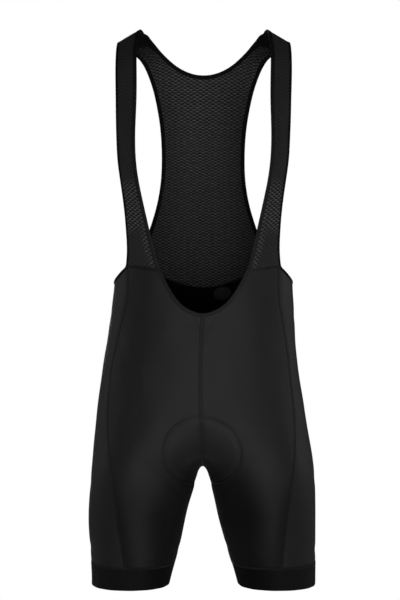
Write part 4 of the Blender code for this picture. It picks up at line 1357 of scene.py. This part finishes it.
def gripper_seams():
    """The seams where the grippers are sewn to the legs."""
    whole = half_loop(GRIPPER_TOP)[2][-1]
    distances = np.linspace(0.0, whole, 190)[:-1]
    ring = np.array([lower(GRIPPER_TOP, distance) for distance in distances])
    normals = np.array([lower_normal(GRIPPER_TOP, min(max(d, 0.002), whole - 0.002)) for d in distances])
    normals *= np.sign(np.sum(normals * (ring - ring.mean(0)), 1, keepdims=True))
    normals = unit(softened(normals, 3, True))
    return {f"gripper_{word}": (*on_side(side, ring, normals), True) for side, word in SIDES.items()}


def make_seams():
    """Every flat seam, with its two rows of needle stitches and the covering stitches between."""
    plain = bpy.context.scene.bib_cloth
    rows, covers = [], []
    for name, (points, normals, closed) in {**seam_lines(), **cross_seams(), **gripper_seams()}.items():
        width, relief = SEAM_SHAPES.get(name.split("_")[0], (SEAM_WIDTH, 1.0))
        side = seam_tape(f"seam_{name}", points, normals, closed, width, relief)
        if closed:
            points, normals, side = joined(points, normals, side)
        for way in (-1, 1):
            rows.append((points + side * (way * NEEDLE_ROW) + normals * 0.00058, normals))
        covers.append((points + normals * 0.00040, normals))
    sew("stitches_needle", rows, fine_cloth("thread"), "lycra")
    points, normals, _ = seam_lines()["centre"]
    side = across_line(points, normals)
    front = points[:, 1] < -0.06
    # a pale row on one side of the centre seam only: thread, with a painted highlight of the seam's lit
    # edge
    edge = points + side * np.sign(side[:, :1]) * 0.0024 + normals * 0.00035
    lines = [(edge[front], normals[front])]
    sew("stitches_centre", lines, fine_cloth("pale_thread"), "lycra", CENTRE_STITCH)
    cover = (plain.stitch_spacing * 0.75, COVER_LENGTH, plain.thread)
    sew("stitches_cover", covers, fine_cloth("thread"), "lycra", cover, math.radians(62))


def make_pad_outline():
    """The raised line where the pad is sewn to the lycra, with its stitches."""
    lines = []
    for back, face in ((False, "front"), (True, "back")):
        for side, word in SIDES.items():
            line, normals = [], []
            for distance, height in pad_outline(back)[:-2]:
                height = round(float(height), 6)
                whole = half_loop(height)[2][-1]
                distance = min(max(distance, 0.0004), whole - 0.0004)
                near = min(max(distance, 0.0022), whole - 0.0022)
                line.append(lower(height, whole - distance if back else distance))
                normals.append(lower_normal(height, whole - near if back else near))
            line, normals = on_side(side, np.array(line), np.array(normals))
            line, normals = evened(line - normals * PAD_SEAM_SUNK, normals, 0.0016)
            stand = unit(softened(normals, 3, False))
            seam_tape(f"pad_seam_{face}_{word}", line, stand, False, width=PAD_SEAM_WIDTH)
            lines.append((line + normals * 0.00045, normals))
    # the pale thread round the pad is partly a painted highlight of its lit lip
    sew("stitches_pad", lines, fine_cloth("pale_thread"), "lycra")


STRIP_END = 0.092  # along the shoulder, where the facing's strip beside the neckline ends


def by_along(rows):
    """Places across and along, sorted and turned so that across can be read by along."""
    return rows[np.argsort(rows[:, 1])][:, ::-1].T


def make_shoulder_facings():
    """The plain facings inside the shoulders, which run on as strips beside the back neckline."""
    seam, _, ahead = CROWN
    neck = back_neck_line()
    neck = np.concatenate([neck[len(neck) // 2 :][::-1], [(ahead.inner, ahead.along)]])
    body = bpy.context.scene.bib_knit.thickness
    along = np.linspace(-0.014, FACING_END, 22), np.linspace(FACING_END + 0.0012, STRIP_END, 26)
    along = np.concatenate(along)
    inner = np.interp(along, *by_along(neck))
    outer = np.interp(along, *by_along(fine(armhole_lines()[0], 6)))
    over = np.interp(along, (ahead.along, seam.along), (ahead.outer, seam.outer))
    outer = np.where(along < SHOULDER_SEAM, over, outer)
    strip = inner + np.interp(along, (FACING_END, STRIP_END), (0.0130, 0.0070))
    outer += (strip - outer) * ease(along, FACING_END - 0.001, FACING_END + 0.006)
    share = np.linspace(0.0, 1.0, 24)
    across = inner[:, None] + 0.0012 + (outer - inner - 0.0024)[:, None] * share
    v = np.broadcast_to(along[:, None], across.shape)
    folds = 0.0003 * np.sin(v * math.tau / 0.0065 + across * 80) * ease(v, 0.02, 0.05)
    for side, word in SIDES.items():
        points, normals = upper_cloth(across, v, side)
        near = lean(points - normals * (body + 0.00015))
        far = lean(points - normals * (body + 0.0008 + folds)[..., None])
        made = shell(f"shoulder_facing_{word}", far, near, np.stack([across, v], -1))
        dress(made, "trim", None, jersey_cloth("trim"))


# ------ the pad and the label
PAD_ROWS = 120
PAD_SINK = 0.0032  # from the shorts' outer face in to the pad's sewn face
PAD_EDGE = 0.0026  # thickness of the pad's edge
PAD_CHANNELS = (  # share of the way out to the pad's edge, depth and width of each sewn channel
    (0.0, 0.002, 0.0026), (0.34, 0.0012, 0.0022), (0.62, 0.0009, 0.002),
)


def make_pad():
    """The seat pad: foam under brushed cloth, thick where the seat rests, with sewn channels."""
    thickest = bpy.context.scene.bib_cloth.pad_thickness
    want = np.linspace(0, len(PAD_LINE) - 1, PAD_ROWS)
    middle, outline, reach = (spline(np.arange(len(PAD_LINE)), values)(want) for values in zip(*PAD_LINE))
    shares = np.sin(np.linspace(-1.0, 1.0, 61) * math.pi / 2)
    outer, inner, flat = [], [], []
    for k in range(PAD_ROWS):
        for share in shares:
            size = abs(share)
            height = round(float(middle[k] + (outline[k] - middle[k]) * size), 6)
            whole = half_loop(height)[2][-1]
            distance = whole - reach[k] * size if reach[k] > 0 else -reach[k] * size
            point = lower(height, distance)
            normal = lower_normal(height, min(max(distance, 0.0016), whole - 0.0016))
            if size < 0.02:
                point[0] = normal[0] = 0.0
            normal[0] *= min(size / 0.08, 1.0)
            point, normal = on_side(np.sign(share) or 1.0, point, unit(normal))
            end = min(k, PAD_ROWS - 1 - k) / 18  # share of the way to where the pad is full
            full = float(ease(min(end, (1 - size) / 0.42), 0.0, 1.0))
            thick = PAD_EDGE + (thickest - PAD_EDGE) * full
            for place, deep, width in PAD_CHANNELS:
                gap = (size - place) * max(abs(reach[k]), 0.02)
                thick -= deep * math.exp(-((gap / width) ** 2)) * float(ease(end, 0.4, 1.2))
            outer.append(point - normal * PAD_SINK)
            inner.append(point - normal * (PAD_SINK + thick))
            flat.append((share * max(abs(reach[k]), 0.01), k * 0.0027))
    layers = (np.array(layer).reshape(PAD_ROWS, len(shares), -1) for layer in (outer, inner, flat))
    outer, inner, flat = layers
    made = shell("seat_pad", lean(inner), lean(outer), flat)
    dress(made, "pad", "chamois", jersey_cloth("pad"))


LABEL_SIZE = (0.0310, 0.0235)
LABEL_TURN = math.radians(9.0)
LABEL_SINK = 0.0021  # from the lycra's outer face in to the label
LABEL_RIM, LABEL_RISE = 0.0001, 0.0004  # its thickness at the rim, and how much more it has in the middle


def make_label():
    """A plain oval label with a rounded rim, fixed inside the back waist."""
    line = np.sin(np.linspace(-math.pi / 2, math.pi / 2, 29))
    a, b = np.meshgrid(line, line)
    a, b = a * np.sqrt(1 - b**2 / 2), b * np.sqrt(1 - a**2 / 2)  # a square grid drawn to a round
    outer, inner = [], []
    for x, y in zip(LABEL_SIZE[0] / 2 * a.ravel(), LABEL_SIZE[1] / 2 * b.ravel()):
        across = LABEL_PLACE[0] + x * math.cos(LABEL_TURN) - y * math.sin(LABEL_TURN)
        height = round(float(LABEL_PLACE[1] + x * math.sin(LABEL_TURN) + y * math.cos(LABEL_TURN)), 6)
        distance = run_at(across, height, True)
        point, normal = lower(height, distance), lower_normal(height, distance)
        rim = math.sqrt(max(1 - math.hypot(2 * x / LABEL_SIZE[0], 2 * y / LABEL_SIZE[1]) ** 8, 0.0))
        outer.append(point - normal * (LABEL_SINK + LABEL_RIM + LABEL_RISE * rim))
        inner.append(point - normal * LABEL_SINK)
    outer, inner = (lean(np.array(layer).reshape(*a.shape, 3)) for layer in (outer, inner))
    flat = np.stack([LABEL_SIZE[0] / 2 * a, LABEL_SIZE[1] / 2 * b], -1)
    made = shell("waist_label", outer, inner, flat)
    dress(made, "label", "label", fine_cloth("label"))


# ------ shared finishes
def shader_group(name, inputs, outputs):
    """An empty node group with named inputs and outputs."""
    group = bpy.data.node_groups.new(name, "ShaderNodeTree")
    sockets(group, "INPUT", *inputs)
    sockets(group, "OUTPUT", *outputs)
    return group, group.nodes.new("NodeGroupInput").outputs, group.nodes.new("NodeGroupOutput").inputs


@cache
def knit_cells_group():
    """The knit's pattern from its flat place: how near each spot is to a raised float or an eyelet."""
    group, given, out = shader_group(
        "knit_cells",
        (("Vector", "Place", None), ("Float", "Cell Width", 0.0106), ("Float", "Cell Height", 0.005),
         ("Float", "Waves", 0.45)),
        (("Float", "Float", None), ("Float", "Eyelet", None), ("Float", "Height", None)),
    )
    drift = noise(group, given["Place"], 110.0, colour=True)
    vectors = "ShaderNodeVectorMath"
    spread = node(group, vectors, {0: drift, 1: (-0.5, -0.5, -0.5)}, operation="ADD").outputs[0]
    spread = node(group, vectors, {0: spread, "Scale": 0.0015}, operation="SCALE").outputs[0]
    moved = node(group, vectors, {0: given["Place"], 1: spread}, operation="ADD").outputs[0]
    place = node(group, "ShaderNodeSeparateXYZ", {"Vector": moved}).outputs
    sway = wave(group, place["X"], given["Cell Width"])
    flatter = maths(group, "MAXIMUM", maths(group, "MINIMUM", times(group, sway, 1.7), 1.0), -1.0)
    bricks = times(group, flatter, wave(group, place["Y"], given["Cell Height"]))
    rows = maths(group, "DIVIDE", times(group, place["Y"], math.tau), given["Cell Height"])
    rows = maths(group, "SINE", maths(group, "MULTIPLY_ADD", rows, 2.0, times(group, sway, 0.9)))
    rows = times(group, rows, given["Waves"])
    bricks = maths(group, "MULTIPLY_ADD", bricks, 0.75, rows)
    float_share = smooth_step(group, bricks, 0.10, -0.90)
    eyelet = smooth_step(group, bricks, 0.30, 0.85)
    yarn = wave(group, maths(group, "MULTIPLY_ADD", place["Y"], 0.6, place["X"]), 0.00075)
    height = maths(group, "MULTIPLY_ADD", yarn, 0.12, float_share)
    for name, value in (("Float", float_share), ("Eyelet", eyelet), ("Height", height)):
        group.links.new(value, out[name])
    return group


@cache
def jersey_group():
    """Fine warp knit: close wales with small stitches along them, and a little unevenness."""
    group, given, out = shader_group(
        "jersey",
        (("Vector", "Place", None), ("Float", "Wale", 0.0006), ("Float", "Course", 0.0008),
         ("Float", "Unevenness", 0.3)),
        (("Float", "Height", None), ("Float", "Tone", None)),
    )
    place = node(group, "ShaderNodeSeparateXYZ", {"Vector": given["Place"]}).outputs
    wales = wave(group, place["X"], given["Wale"])
    courses = wave(group, maths(group, "MULTIPLY_ADD", wales, 0.00012, place["Y"]), given["Course"])
    stitch = maths(group, "MULTIPLY_ADD", wales, 0.5, times(group, courses, 0.35))
    broad = noise(group, given["Place"], 38.0, 3.0, 0.55)
    small = noise(group, given["Place"], 900.0, roughness=0.6)
    uneven = times(group, maths(group, "SUBTRACT", broad, 0.5), given["Unevenness"])
    group.links.new(maths(group, "MULTIPLY_ADD", small, 0.5, stitch), out["Height"])
    tone = maths(group, "MULTIPLY_ADD", small, 0.12, maths(group, "ADD", 0.5, uneven))
    group.links.new(tone, out["Tone"])
    return group


def cloth_material(name, row):
    """A cloth's material with its shader, ready for its own pattern."""
    made = bpy.data.materials.new(name)
    made.use_nodes = True
    shader = made.node_tree.nodes["Principled BSDF"]
    shader.inputs["Roughness"].default_value = row.roughness
    shader.inputs["Metallic"].default_value = 0.0
    shader.inputs["Specular IOR Level"].default_value = row.specular
    shader.inputs["Sheen Weight"].default_value = row.sheen
    shader.inputs["Sheen Roughness"].default_value = row.sheen_roughness
    return made, made.node_tree, shader


def between(tree, share, first, second):
    """A colour between two, by a share."""
    mix = node(tree, "ShaderNodeMix", data_type="RGBA")
    put(tree, mix.inputs[0], share)
    mix.inputs[6].default_value = (*first, 1.0)
    mix.inputs[7].default_value = (*second, 1.0)
    return mix.outputs[2]


def multiplied(tree, colour, factor):
    """A colour times a value."""
    made = node(tree, "ShaderNodeVectorMath", operation="SCALE")
    tree.links.new(colour, made.inputs[0])
    tree.links.new(factor, made.inputs["Scale"])
    return made.outputs[0]


def bumped(tree, shader, height, distance, strength):
    """Gives a shader the relief of a height."""
    bump = node(tree, "ShaderNodeBump", {"Height": height, "Distance": distance, "Strength": strength})
    tree.links.new(bump.outputs[0], shader.inputs["Normal"])


# The knitted, sewn and elastic cloths, each named by its colour: the knit's wale and course, how
# uneven and how deep it is, and how much duller the places marked with painted shade are, and how much
# darker they are painted.
JERSEYS = table(
    "colour name roughness sheen sheen_roughness specular wale course unevenness bump matt",
    ("lycra", "black_lycra", 0.58, 0.0, 0.35, 0.19, 0.00065, 0.0009, 0.35, 0.00008, 0.95),
    # the inside is painted darker as shade inside the shorts, and its low gloss is a real matt face
    ("inside", "lycra_inner_face", 0.90, 0.0, 0.35, 0.02, 0.0007, 0.0007, 0.30, 0.00008, 0.0),
    ("seam", "black_flat_seam", 0.60, 0.0, 0.35, 0.19, 0.0006, 0.0011, 0.25, 0.00010, 0.95),
    ("hem", "black_folded_hem", 0.60, 0.0, 0.35, 0.16, 0.0007, 0.0009, 0.25, 0.00010, 0.8),
    ("trim", "black_elastic", 0.70, 0.0, 0.35, 0.06, 0.0010, 0.00075, 0.25, 0.00014, 0.0),
    ("gripper", "gripper_elastic", 0.62, 0.0, 0.35, 0.09, 0.0005, 0.0013, 0.25, 0.00012, 0.7),
    ("pad", "brushed_pad", 0.85, 0.25, 0.5, 0.10, 0.0016, 0.0016, 0.40, 0.00020, 0.0),
)
# Thread and film, each named by its colour: how far its tones spread, and the scale, the detail, the
# depth and the strength of its grain. The low and high end say how hard the grain's edges are.
FINE_CLOTHS = table(
    "colour name roughness sheen sheen_roughness specular spread scale detail low high bump strength",
    ("thread", "black_thread", 0.55, 0.02, 0.4, 0.15, 0.35, 2600.0, 1.0, 0.0, 1.0, 0.0001, 0.5),
    ("pale_thread", "grey_thread", 0.60, 0.0, 0.4, 0.10, 0.6, 160.0, 2.0, 0.35, 0.65, 0.0001, 0.5),
    ("label", "label_film", 0.55, 0.0, 0.5, 0.10, 0.3, 1400.0, 2.0, 0.0, 1.0, 0.00008, 0.4),
)


def tones(colour, spread):
    """A darker and a lighter tone round a cloth's colour."""
    return tuple(c * (1 - spread) for c in colour), tuple(c * (1 + spread) for c in colour)


@cache
def jersey_cloth(colour):
    """One of the jerseys, by the name of its colour."""
    row = next(row for row in JERSEYS if row.colour == colour)
    made, tree, shader = cloth_material(row.name, row)
    place = node(tree, "ShaderNodeUVMap", uv_map="cloth").outputs[0]
    inputs = {"Place": place, "Wale": row.wale, "Course": row.course, "Unevenness": row.unevenness}
    pattern = node(tree, "ShaderNodeGroup", inputs, node_tree=jersey_group())
    tone = pattern.outputs["Tone"]
    inputs = {"Value": tone, "To Min": row.roughness - 0.06, "To Max": row.roughness + 0.06}
    rough = node(tree, "ShaderNodeMapRange", inputs).outputs["Result"]
    seen = between(tree, tone, *tones(getattr(bpy.context.scene.bib_colours, colour), 0.22))
    # painted shade: the marked places are painted darker, and are also rougher
    if row.matt:
        near = node(tree, "ShaderNodeAttribute", attribute_name="matt").outputs["Fac"]
        seen = multiplied(tree, seen, maths(tree, "MULTIPLY_ADD", near, -row.matt, 1.0))
        rough = maths(tree, "MULTIPLY_ADD", near, 1.0 - row.roughness, rough)
    tree.links.new(seen, shader.inputs["Base Color"])
    tree.links.new(rough, shader.inputs["Roughness"])
    bumped(tree, shader, pattern.outputs["Height"], row.bump, 0.6)
    return made


@cache
def fine_cloth(colour):
    """A thread or a film, by the name of its colour."""
    row = next(row for row in FINE_CLOTHS if row.colour == colour)
    made, tree, shader = cloth_material(row.name, row)
    spot = node(tree, "ShaderNodeTexCoord").outputs["Object"]
    grain = noise(tree, spot, row.scale, row.detail)
    share = grain if row.low == 0.0 else smooth_step(tree, grain, row.low, row.high)
    seen = between(tree, share, *tones(getattr(bpy.context.scene.bib_colours, colour), row.spread))
    tree.links.new(seen, shader.inputs["Base Color"])
    bumped(tree, shader, grain, row.bump, row.strength)
    return made


KNIT_LOOK = table("roughness sheen sheen_roughness specular", (0.70, 0.015, 0.4, 0.10))[0]


@cache
def knit_cloth(name, cell):
    """Mesh knit: dark ground, darker eyelets and raised floats painted paler as their highlight, laid like
    bricks, and scaled by the marked painted shade.
    """
    colours = bpy.context.scene.bib_colours
    made, tree, shader = cloth_material(f"black_{name}", KNIT_LOOK)
    place = node(tree, "ShaderNodeUVMap", uv_map="cloth").outputs[0]
    inputs = {"Place": place, "Cell Width": cell[0], "Cell Height": cell[1]}
    cells = node(tree, "ShaderNodeGroup", inputs, node_tree=knit_cells_group())
    broad = noise(tree, place, 170.0)
    # worn makes the floats' painted highlight patchy at random
    worn = maths(tree, "MULTIPLY_ADD", smooth_step(tree, broad, 0.34, 0.64), 0.5, 0.5)
    share = maths(tree, "MULTIPLY_ADD", times(tree, cells.outputs["Float"], worn), 0.9, 0.1)
    opened = node(tree, "ShaderNodeAttribute", attribute_name="openness").outputs["Fac"]
    closed = maths(tree, "MULTIPLY_ADD", share, 0.10, 0.09)
    inputs = {"Value": opened, "To Min": closed, "To Max": share}
    share = node(tree, "ShaderNodeMapRange", inputs).outputs["Result"]
    ground = between(tree, share, colours.knit, colours.knit_float)
    holes = times(tree, cells.outputs["Eyelet"], maths(tree, "MULTIPLY_ADD", opened, 0.75, 0.15))
    shade = node(tree, "ShaderNodeAttribute", attribute_name="shade").outputs["Fac"]
    shade = times(tree, shade, maths(tree, "SUBTRACT", 1.0, holes))
    tree.links.new(multiplied(tree, ground, shade), shader.inputs["Base Color"])
    bumped(tree, shader, cells.outputs["Height"], 0.00022, 0.8)
    return made


# ------ sizes and colours to change
def metres(name, description, default, low, high):
    """A length that a user can change."""
    return FloatProperty(
        name=name, description=description, default=default, min=low, max=high,
        subtype="DISTANCE", unit="LENGTH", precision=4,
    )


def tint(name, description, default):
    """A colour that a user can change."""
    return FloatVectorProperty(
        name=name, description=description, default=default, min=0.0, max=1.0, size=3, subtype="COLOR"
    )


def watts(name, description, default):
    """A lamp's power that a user can change."""
    return FloatProperty(name=name, description=description, default=default, min=0, unit="POWER")


class BibClothSizes(bpy.types.PropertyGroup):
    lycra_thickness: metres("Lycra thickness", "Wall of the lycra panels", 0.0012, 0.0006, 0.0018)
    gripper_thickness: metres("Gripper thickness", "Wall of the leg grippers", 0.0020, 0.0010, 0.0030)
    pad_thickness: metres("Pad thickness", "Seat pad where it is thickest", 0.0085, 0.0060, 0.0120)
    stitch_length: metres("Stitch length", "Length of one stitch on the flat seams", 0.0019, 0.001, 0.004)
    stitch_spacing: metres("Stitch spacing", "From one stitch to the next", 0.0024, 0.0015, 0.006)
    thread: metres("Thread", "Width of the sewing thread", 0.00042, 0.0002, 0.001)
    crease_strength: FloatProperty(
        name="Crease strength", description="How strongly the worn cloth is creased",
        default=1.0, min=0.0, max=2.0,
    )


class BibKnitSizes(bpy.types.PropertyGroup):
    back_cell_width: metres("Back cell width", "Width of a cell of the back's knit", 0.0106, 0.004, 0.02)
    back_cell_height: metres("Back cell height", "Height of a cell of the back's knit", 0.0050, 0.002, 0.02)
    strap_cell_width: metres("Strap cell width", "Width of a cell of the straps' knit", 0.0090, 0.003, 0.02)
    strap_cell_height: metres("Strap cell height", "Height of a cell of their knit", 0.0062, 0.002, 0.02)
    relief: metres("Relief", "How far the floats stand up and the eyelets sink", 0.00032, 0.0, 0.0006)
    thickness: metres("Thickness", "Wall of the knit", 0.0011, 0.0006, 0.002)


class BibColours(bpy.types.PropertyGroup):
    lycra: tint("Lycra", "The smooth panels", (0.0042, 0.0042, 0.0044))
    # darker than the lycra as painted shade inside the shorts; its low gloss is a real matt face
    inside: tint("Lycra inside", "The matt inner face of the smooth panels", (0.0018, 0.0018, 0.0018))
    seam: tint("Seams", "The flat seams", (0.0038, 0.0038, 0.0040))
    hem: tint("Hem", "The folded hem of the front neckline", (0.0036, 0.0036, 0.0038))
    # paler than the black thread: partly thread colour, partly a painted highlight of lit edges beside the
    # seams and the pad
    pale_thread: tint("Pale thread", "The thread of the pad, hem and centre seam", (0.0180, 0.0180, 0.0186))
    trim: tint("Elastic", "The bindings", (0.0016, 0.0016, 0.0017))
    gripper: tint("Grippers", "The bands at the legs", (0.0022, 0.0022, 0.0023))
    knit: tint("Knit", "Ground of the knitted pieces", (0.0048, 0.0048, 0.0049))
    # the raised yarns' pale tone is a painted highlight
    knit_float: tint("Knit floats", "The raised yarns of the knit", (0.0740, 0.0740, 0.0760))
    thread: tint("Thread", "The sewing thread", (0.0100, 0.0100, 0.0103))
    pad: tint("Pad", "The brushed face of the seat pad", (0.0160, 0.0160, 0.0170))
    label: tint("Label", "The plain label", (0.0024, 0.0024, 0.0024))


class BibStageSettings(bpy.types.PropertyGroup):
    floor: tint("Floor", "The floor and the backdrop", (0.90, 0.90, 0.90))
    key: watts("Front light", "Power of the soft front light", 56.0)
    rim: watts("Side lights", "Power of each side light", 10.0)
    back: watts("Back light", "Power of the soft light behind", 40.0)
    ambient: FloatProperty(
        name="Ambient", description="Strength of the even light", default=0.02, min=0, max=1
    )
    floor_glow: FloatProperty(
        name="Floor glow", description="How much paler the floor is shown", default=0.60, min=0
    )
    camera_distance: metres("Camera distance", "From the camera to the shorts", 2.8, 1.0, 10.0)
    camera_height: metres("Camera height", "Height of the camera, under the shoulders", -0.403, -2.0, 2.0)


# ------ the stage
FLOOR_HEIGHT = -1.45
FLOOR_SIZE = (2.4, 2.0)  # half sizes, across and deep
METRES_PER_PIXEL = 0.001652  # at the shorts' middle, in a frame 400 wide and 600 high
FRAME_HEIGHT = 600
FRAME_SHIFT = (-3.7 / FRAME_HEIGHT, -20.0 / FRAME_HEIGHT)
SENSOR_HEIGHT = 24.0  # millimetres


def make_floor(settings):
    """A plain pale floor under the hanging shorts."""
    across, deep = FLOOR_SIZE
    points = [(-across, -deep, FLOOR_HEIGHT), (across, -deep, FLOOR_HEIGHT),
              (across, deep, FLOOR_HEIGHT), (-across, deep, FLOOR_HEIGHT)]
    made = mesh_object("studio_floor", points, [(0, 1, 2, 3)])
    paper = bpy.data.materials.new("pale_paper")
    paper.use_nodes = True
    tree = paper.node_tree
    shader = tree.nodes["Principled BSDF"]
    shader.inputs["Roughness"].default_value = 0.9
    shader.inputs["Specular IOR Level"].default_value = 0.1
    spot = node(tree, "ShaderNodeTexCoord").outputs["Object"]
    grain = noise(tree, spot, 3.0)
    shade = tuple(c * 0.99 for c in settings.floor)
    tree.links.new(between(tree, grain, shade, settings.floor), shader.inputs["Base Color"])
    shader.inputs["Emission Color"].default_value = (1.0, 1.0, 1.0, 1.0)
    seen = node(tree, "ShaderNodeLightPath").outputs["Is Camera Ray"]
    tree.links.new(times(tree, seen, settings.floor_glow), shader.inputs["Emission Strength"])
    made.data.materials.append(paper)
    made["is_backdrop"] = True


def area_light(name, place, aim, size, power):
    """A soft light that stands at a place and is aimed at another."""
    light = bpy.data.lights.new(name, "AREA")
    light.shape = "RECTANGLE"
    light.size, light.size_y = size
    light.energy = power
    made = new_object(name, light)
    made.location = place
    made.rotation_euler = (Vector(aim) - Vector(place)).to_track_quat("-Z", "Y").to_euler()
    made.visible_camera = False


def make_air(settings):
    """Even light from all round, in front of a plain white background."""
    world = bpy.data.worlds.new("studio_air")
    world.use_nodes = True
    tree = world.node_tree
    seen = node(tree, "ShaderNodeLightPath").outputs["Is Camera Ray"]
    strength = maths(tree, "ADD", times(tree, seen, 1.0 - settings.ambient), settings.ambient)
    tree.nodes["Background"].inputs["Color"].default_value = (1.0, 1.0, 1.0, 1.0)
    tree.links.new(strength, tree.nodes["Background"].inputs["Strength"])
    bpy.context.scene.world = world


def make_camera(settings):
    """The camera straight in front, with its frame moved to hold the whole of the shorts."""
    camera = bpy.data.cameras.new("camera")
    camera.sensor_fit = "VERTICAL"
    camera.sensor_height = SENSOR_HEIGHT
    camera.lens = SENSOR_HEIGHT * settings.camera_distance / (METRES_PER_PIXEL * FRAME_HEIGHT)
    camera.shift_x, camera.shift_y = FRAME_SHIFT
    made = new_object("camera", camera)
    made.location = (0.0, -settings.camera_distance, settings.camera_height)
    made.rotation_euler = (math.pi / 2, 0.0, 0.0)
    bpy.context.scene.camera = made


def make_stage():
    """The floor, the even light, four soft lights and the camera."""
    settings = bpy.context.scene.bib_stage
    make_floor(settings)
    make_air(settings)
    area_light("front_light", (0.25, -2.50, -0.75), (0.0, 0.0, -0.50), (2.6, 1.3), settings.key)
    area_light("left_light", (2.0, 0.6, -0.1), (0.0, 0.0, -0.45), (0.7, 1.8), settings.rim * 1.3)
    area_light("right_light", (-2.0, 0.6, -0.1), (0.0, 0.0, -0.45), (0.7, 1.8), settings.rim)
    area_light("back_light", (-0.55, 2.50, 0.30), (0.0, 0.0, -0.35), (1.2, 1.2), settings.back)
    bpy.context.scene.view_settings.view_transform = "Standard"
    make_camera(settings)


# ------ operators and panel
class MakeStage(bpy.types.Operator):
    """Makes the floor, the lights and the camera"""

    bl_idname = "bib.stage"
    bl_label = "Stage"

    def execute(self, context):
        make_stage()
        return {"FINISHED"}


class MakeBindings(bpy.types.Operator):
    """Makes the neck band and the bindings of the back neckline and the armholes, and sews them"""

    bl_idname = "bib.bindings"
    bl_label = "Bindings"

    def execute(self, context):
        sew_bindings(make_neck_bands() + make_armholes())
        make_shoulder_facings()
        return {"FINISHED"}


class MakeSeams(bpy.types.Operator):
    """Makes the flat seams between the panels, with their stitches"""

    bl_idname = "bib.seams"
    bl_label = "Seams"

    def execute(self, context):
        make_seams()
        return {"FINISHED"}


class MakeLycra(bpy.types.Operator):
    """Makes the six smooth panels, and the stitches that hold the pad to them"""

    bl_idname = "bib.lycra"
    bl_label = "Lycra panels"

    def execute(self, context):
        for side in SIDES:
            for name in ("front", "side", "back"):
                make_panel(name, side)
        make_pad_outline()
        return {"FINISHED"}


class MakeKnit(bpy.types.Operator):
    """Makes the knitted back and the two knitted straps"""

    bl_idname = "bib.knit"
    bl_label = "Knit"

    def execute(self, context):
        make_back()
        for side in SIDES:
            make_strap(side)
        return {"FINISHED"}


class MakeGrippers(bpy.types.Operator):
    """Makes the bands at the ends of the legs"""

    bl_idname = "bib.grippers"
    bl_label = "Leg grippers"

    def execute(self, context):
        for side in SIDES:
            make_gripper(side)
        return {"FINISHED"}


class MakePad(bpy.types.Operator):
    """Makes the seat pad"""

    bl_idname = "bib.pad"
    bl_label = "Seat pad"

    def execute(self, context):
        make_pad()
        return {"FINISHED"}


class MakeLabel(bpy.types.Operator):
    """Makes the plain label inside the back"""

    bl_idname = "bib.label"
    bl_label = "Label"

    def execute(self, context):
        make_label()
        return {"FINISHED"}


GROUPS = {
    "bib_cloth": BibClothSizes, "bib_knit": BibKnitSizes, "bib_colours": BibColours,
    "bib_stage": BibStageSettings,
}
OPERATORS = (MakeStage, MakeBindings, MakeSeams, MakeLycra, MakeKnit, MakeGrippers, MakePad, MakeLabel)


class BibPanel(bpy.types.Panel):
    """Lists the sizes, the colours and the steps of the bib shorts"""

    bl_idname = "VIEW3D_PT_bib_shorts"
    bl_label = "Bib shorts"
    bl_space_type = "VIEW_3D"
    bl_region_type = "UI"
    bl_category = "Bib shorts"

    def draw(self, context):
        for name, group in GROUPS.items():
            box = self.layout.box()
            for key in group.__annotations__:
                box.prop(getattr(context.scene, name), key)
        for operator in OPERATORS:
            self.layout.operator(operator.bl_idname)


def register():
    for made in (*GROUPS.values(), *OPERATORS, BibPanel):
        bpy.utils.register_class(made)
    for name, group in GROUPS.items():
        setattr(bpy.types.Scene, name, PointerProperty(type=group))


def unregister():
    for name in GROUPS:
        delattr(bpy.types.Scene, name)
    for made in reversed((*GROUPS.values(), *OPERATORS, BibPanel)):
        bpy.utils.unregister_class(made)


def main():
    """Makes every piece and the stage."""
    register()
    for operator in OPERATORS:
        group, name = operator.bl_idname.split(".")
        getattr(getattr(bpy.ops, group), name)()
    boxes = {"cad": CAD_BOX, "visual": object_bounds()}
    boxes = {name: [[float(x) for x in corner] for corner in box] for name, box in boxes.items()}


if __name__ == "__main__":
    main()
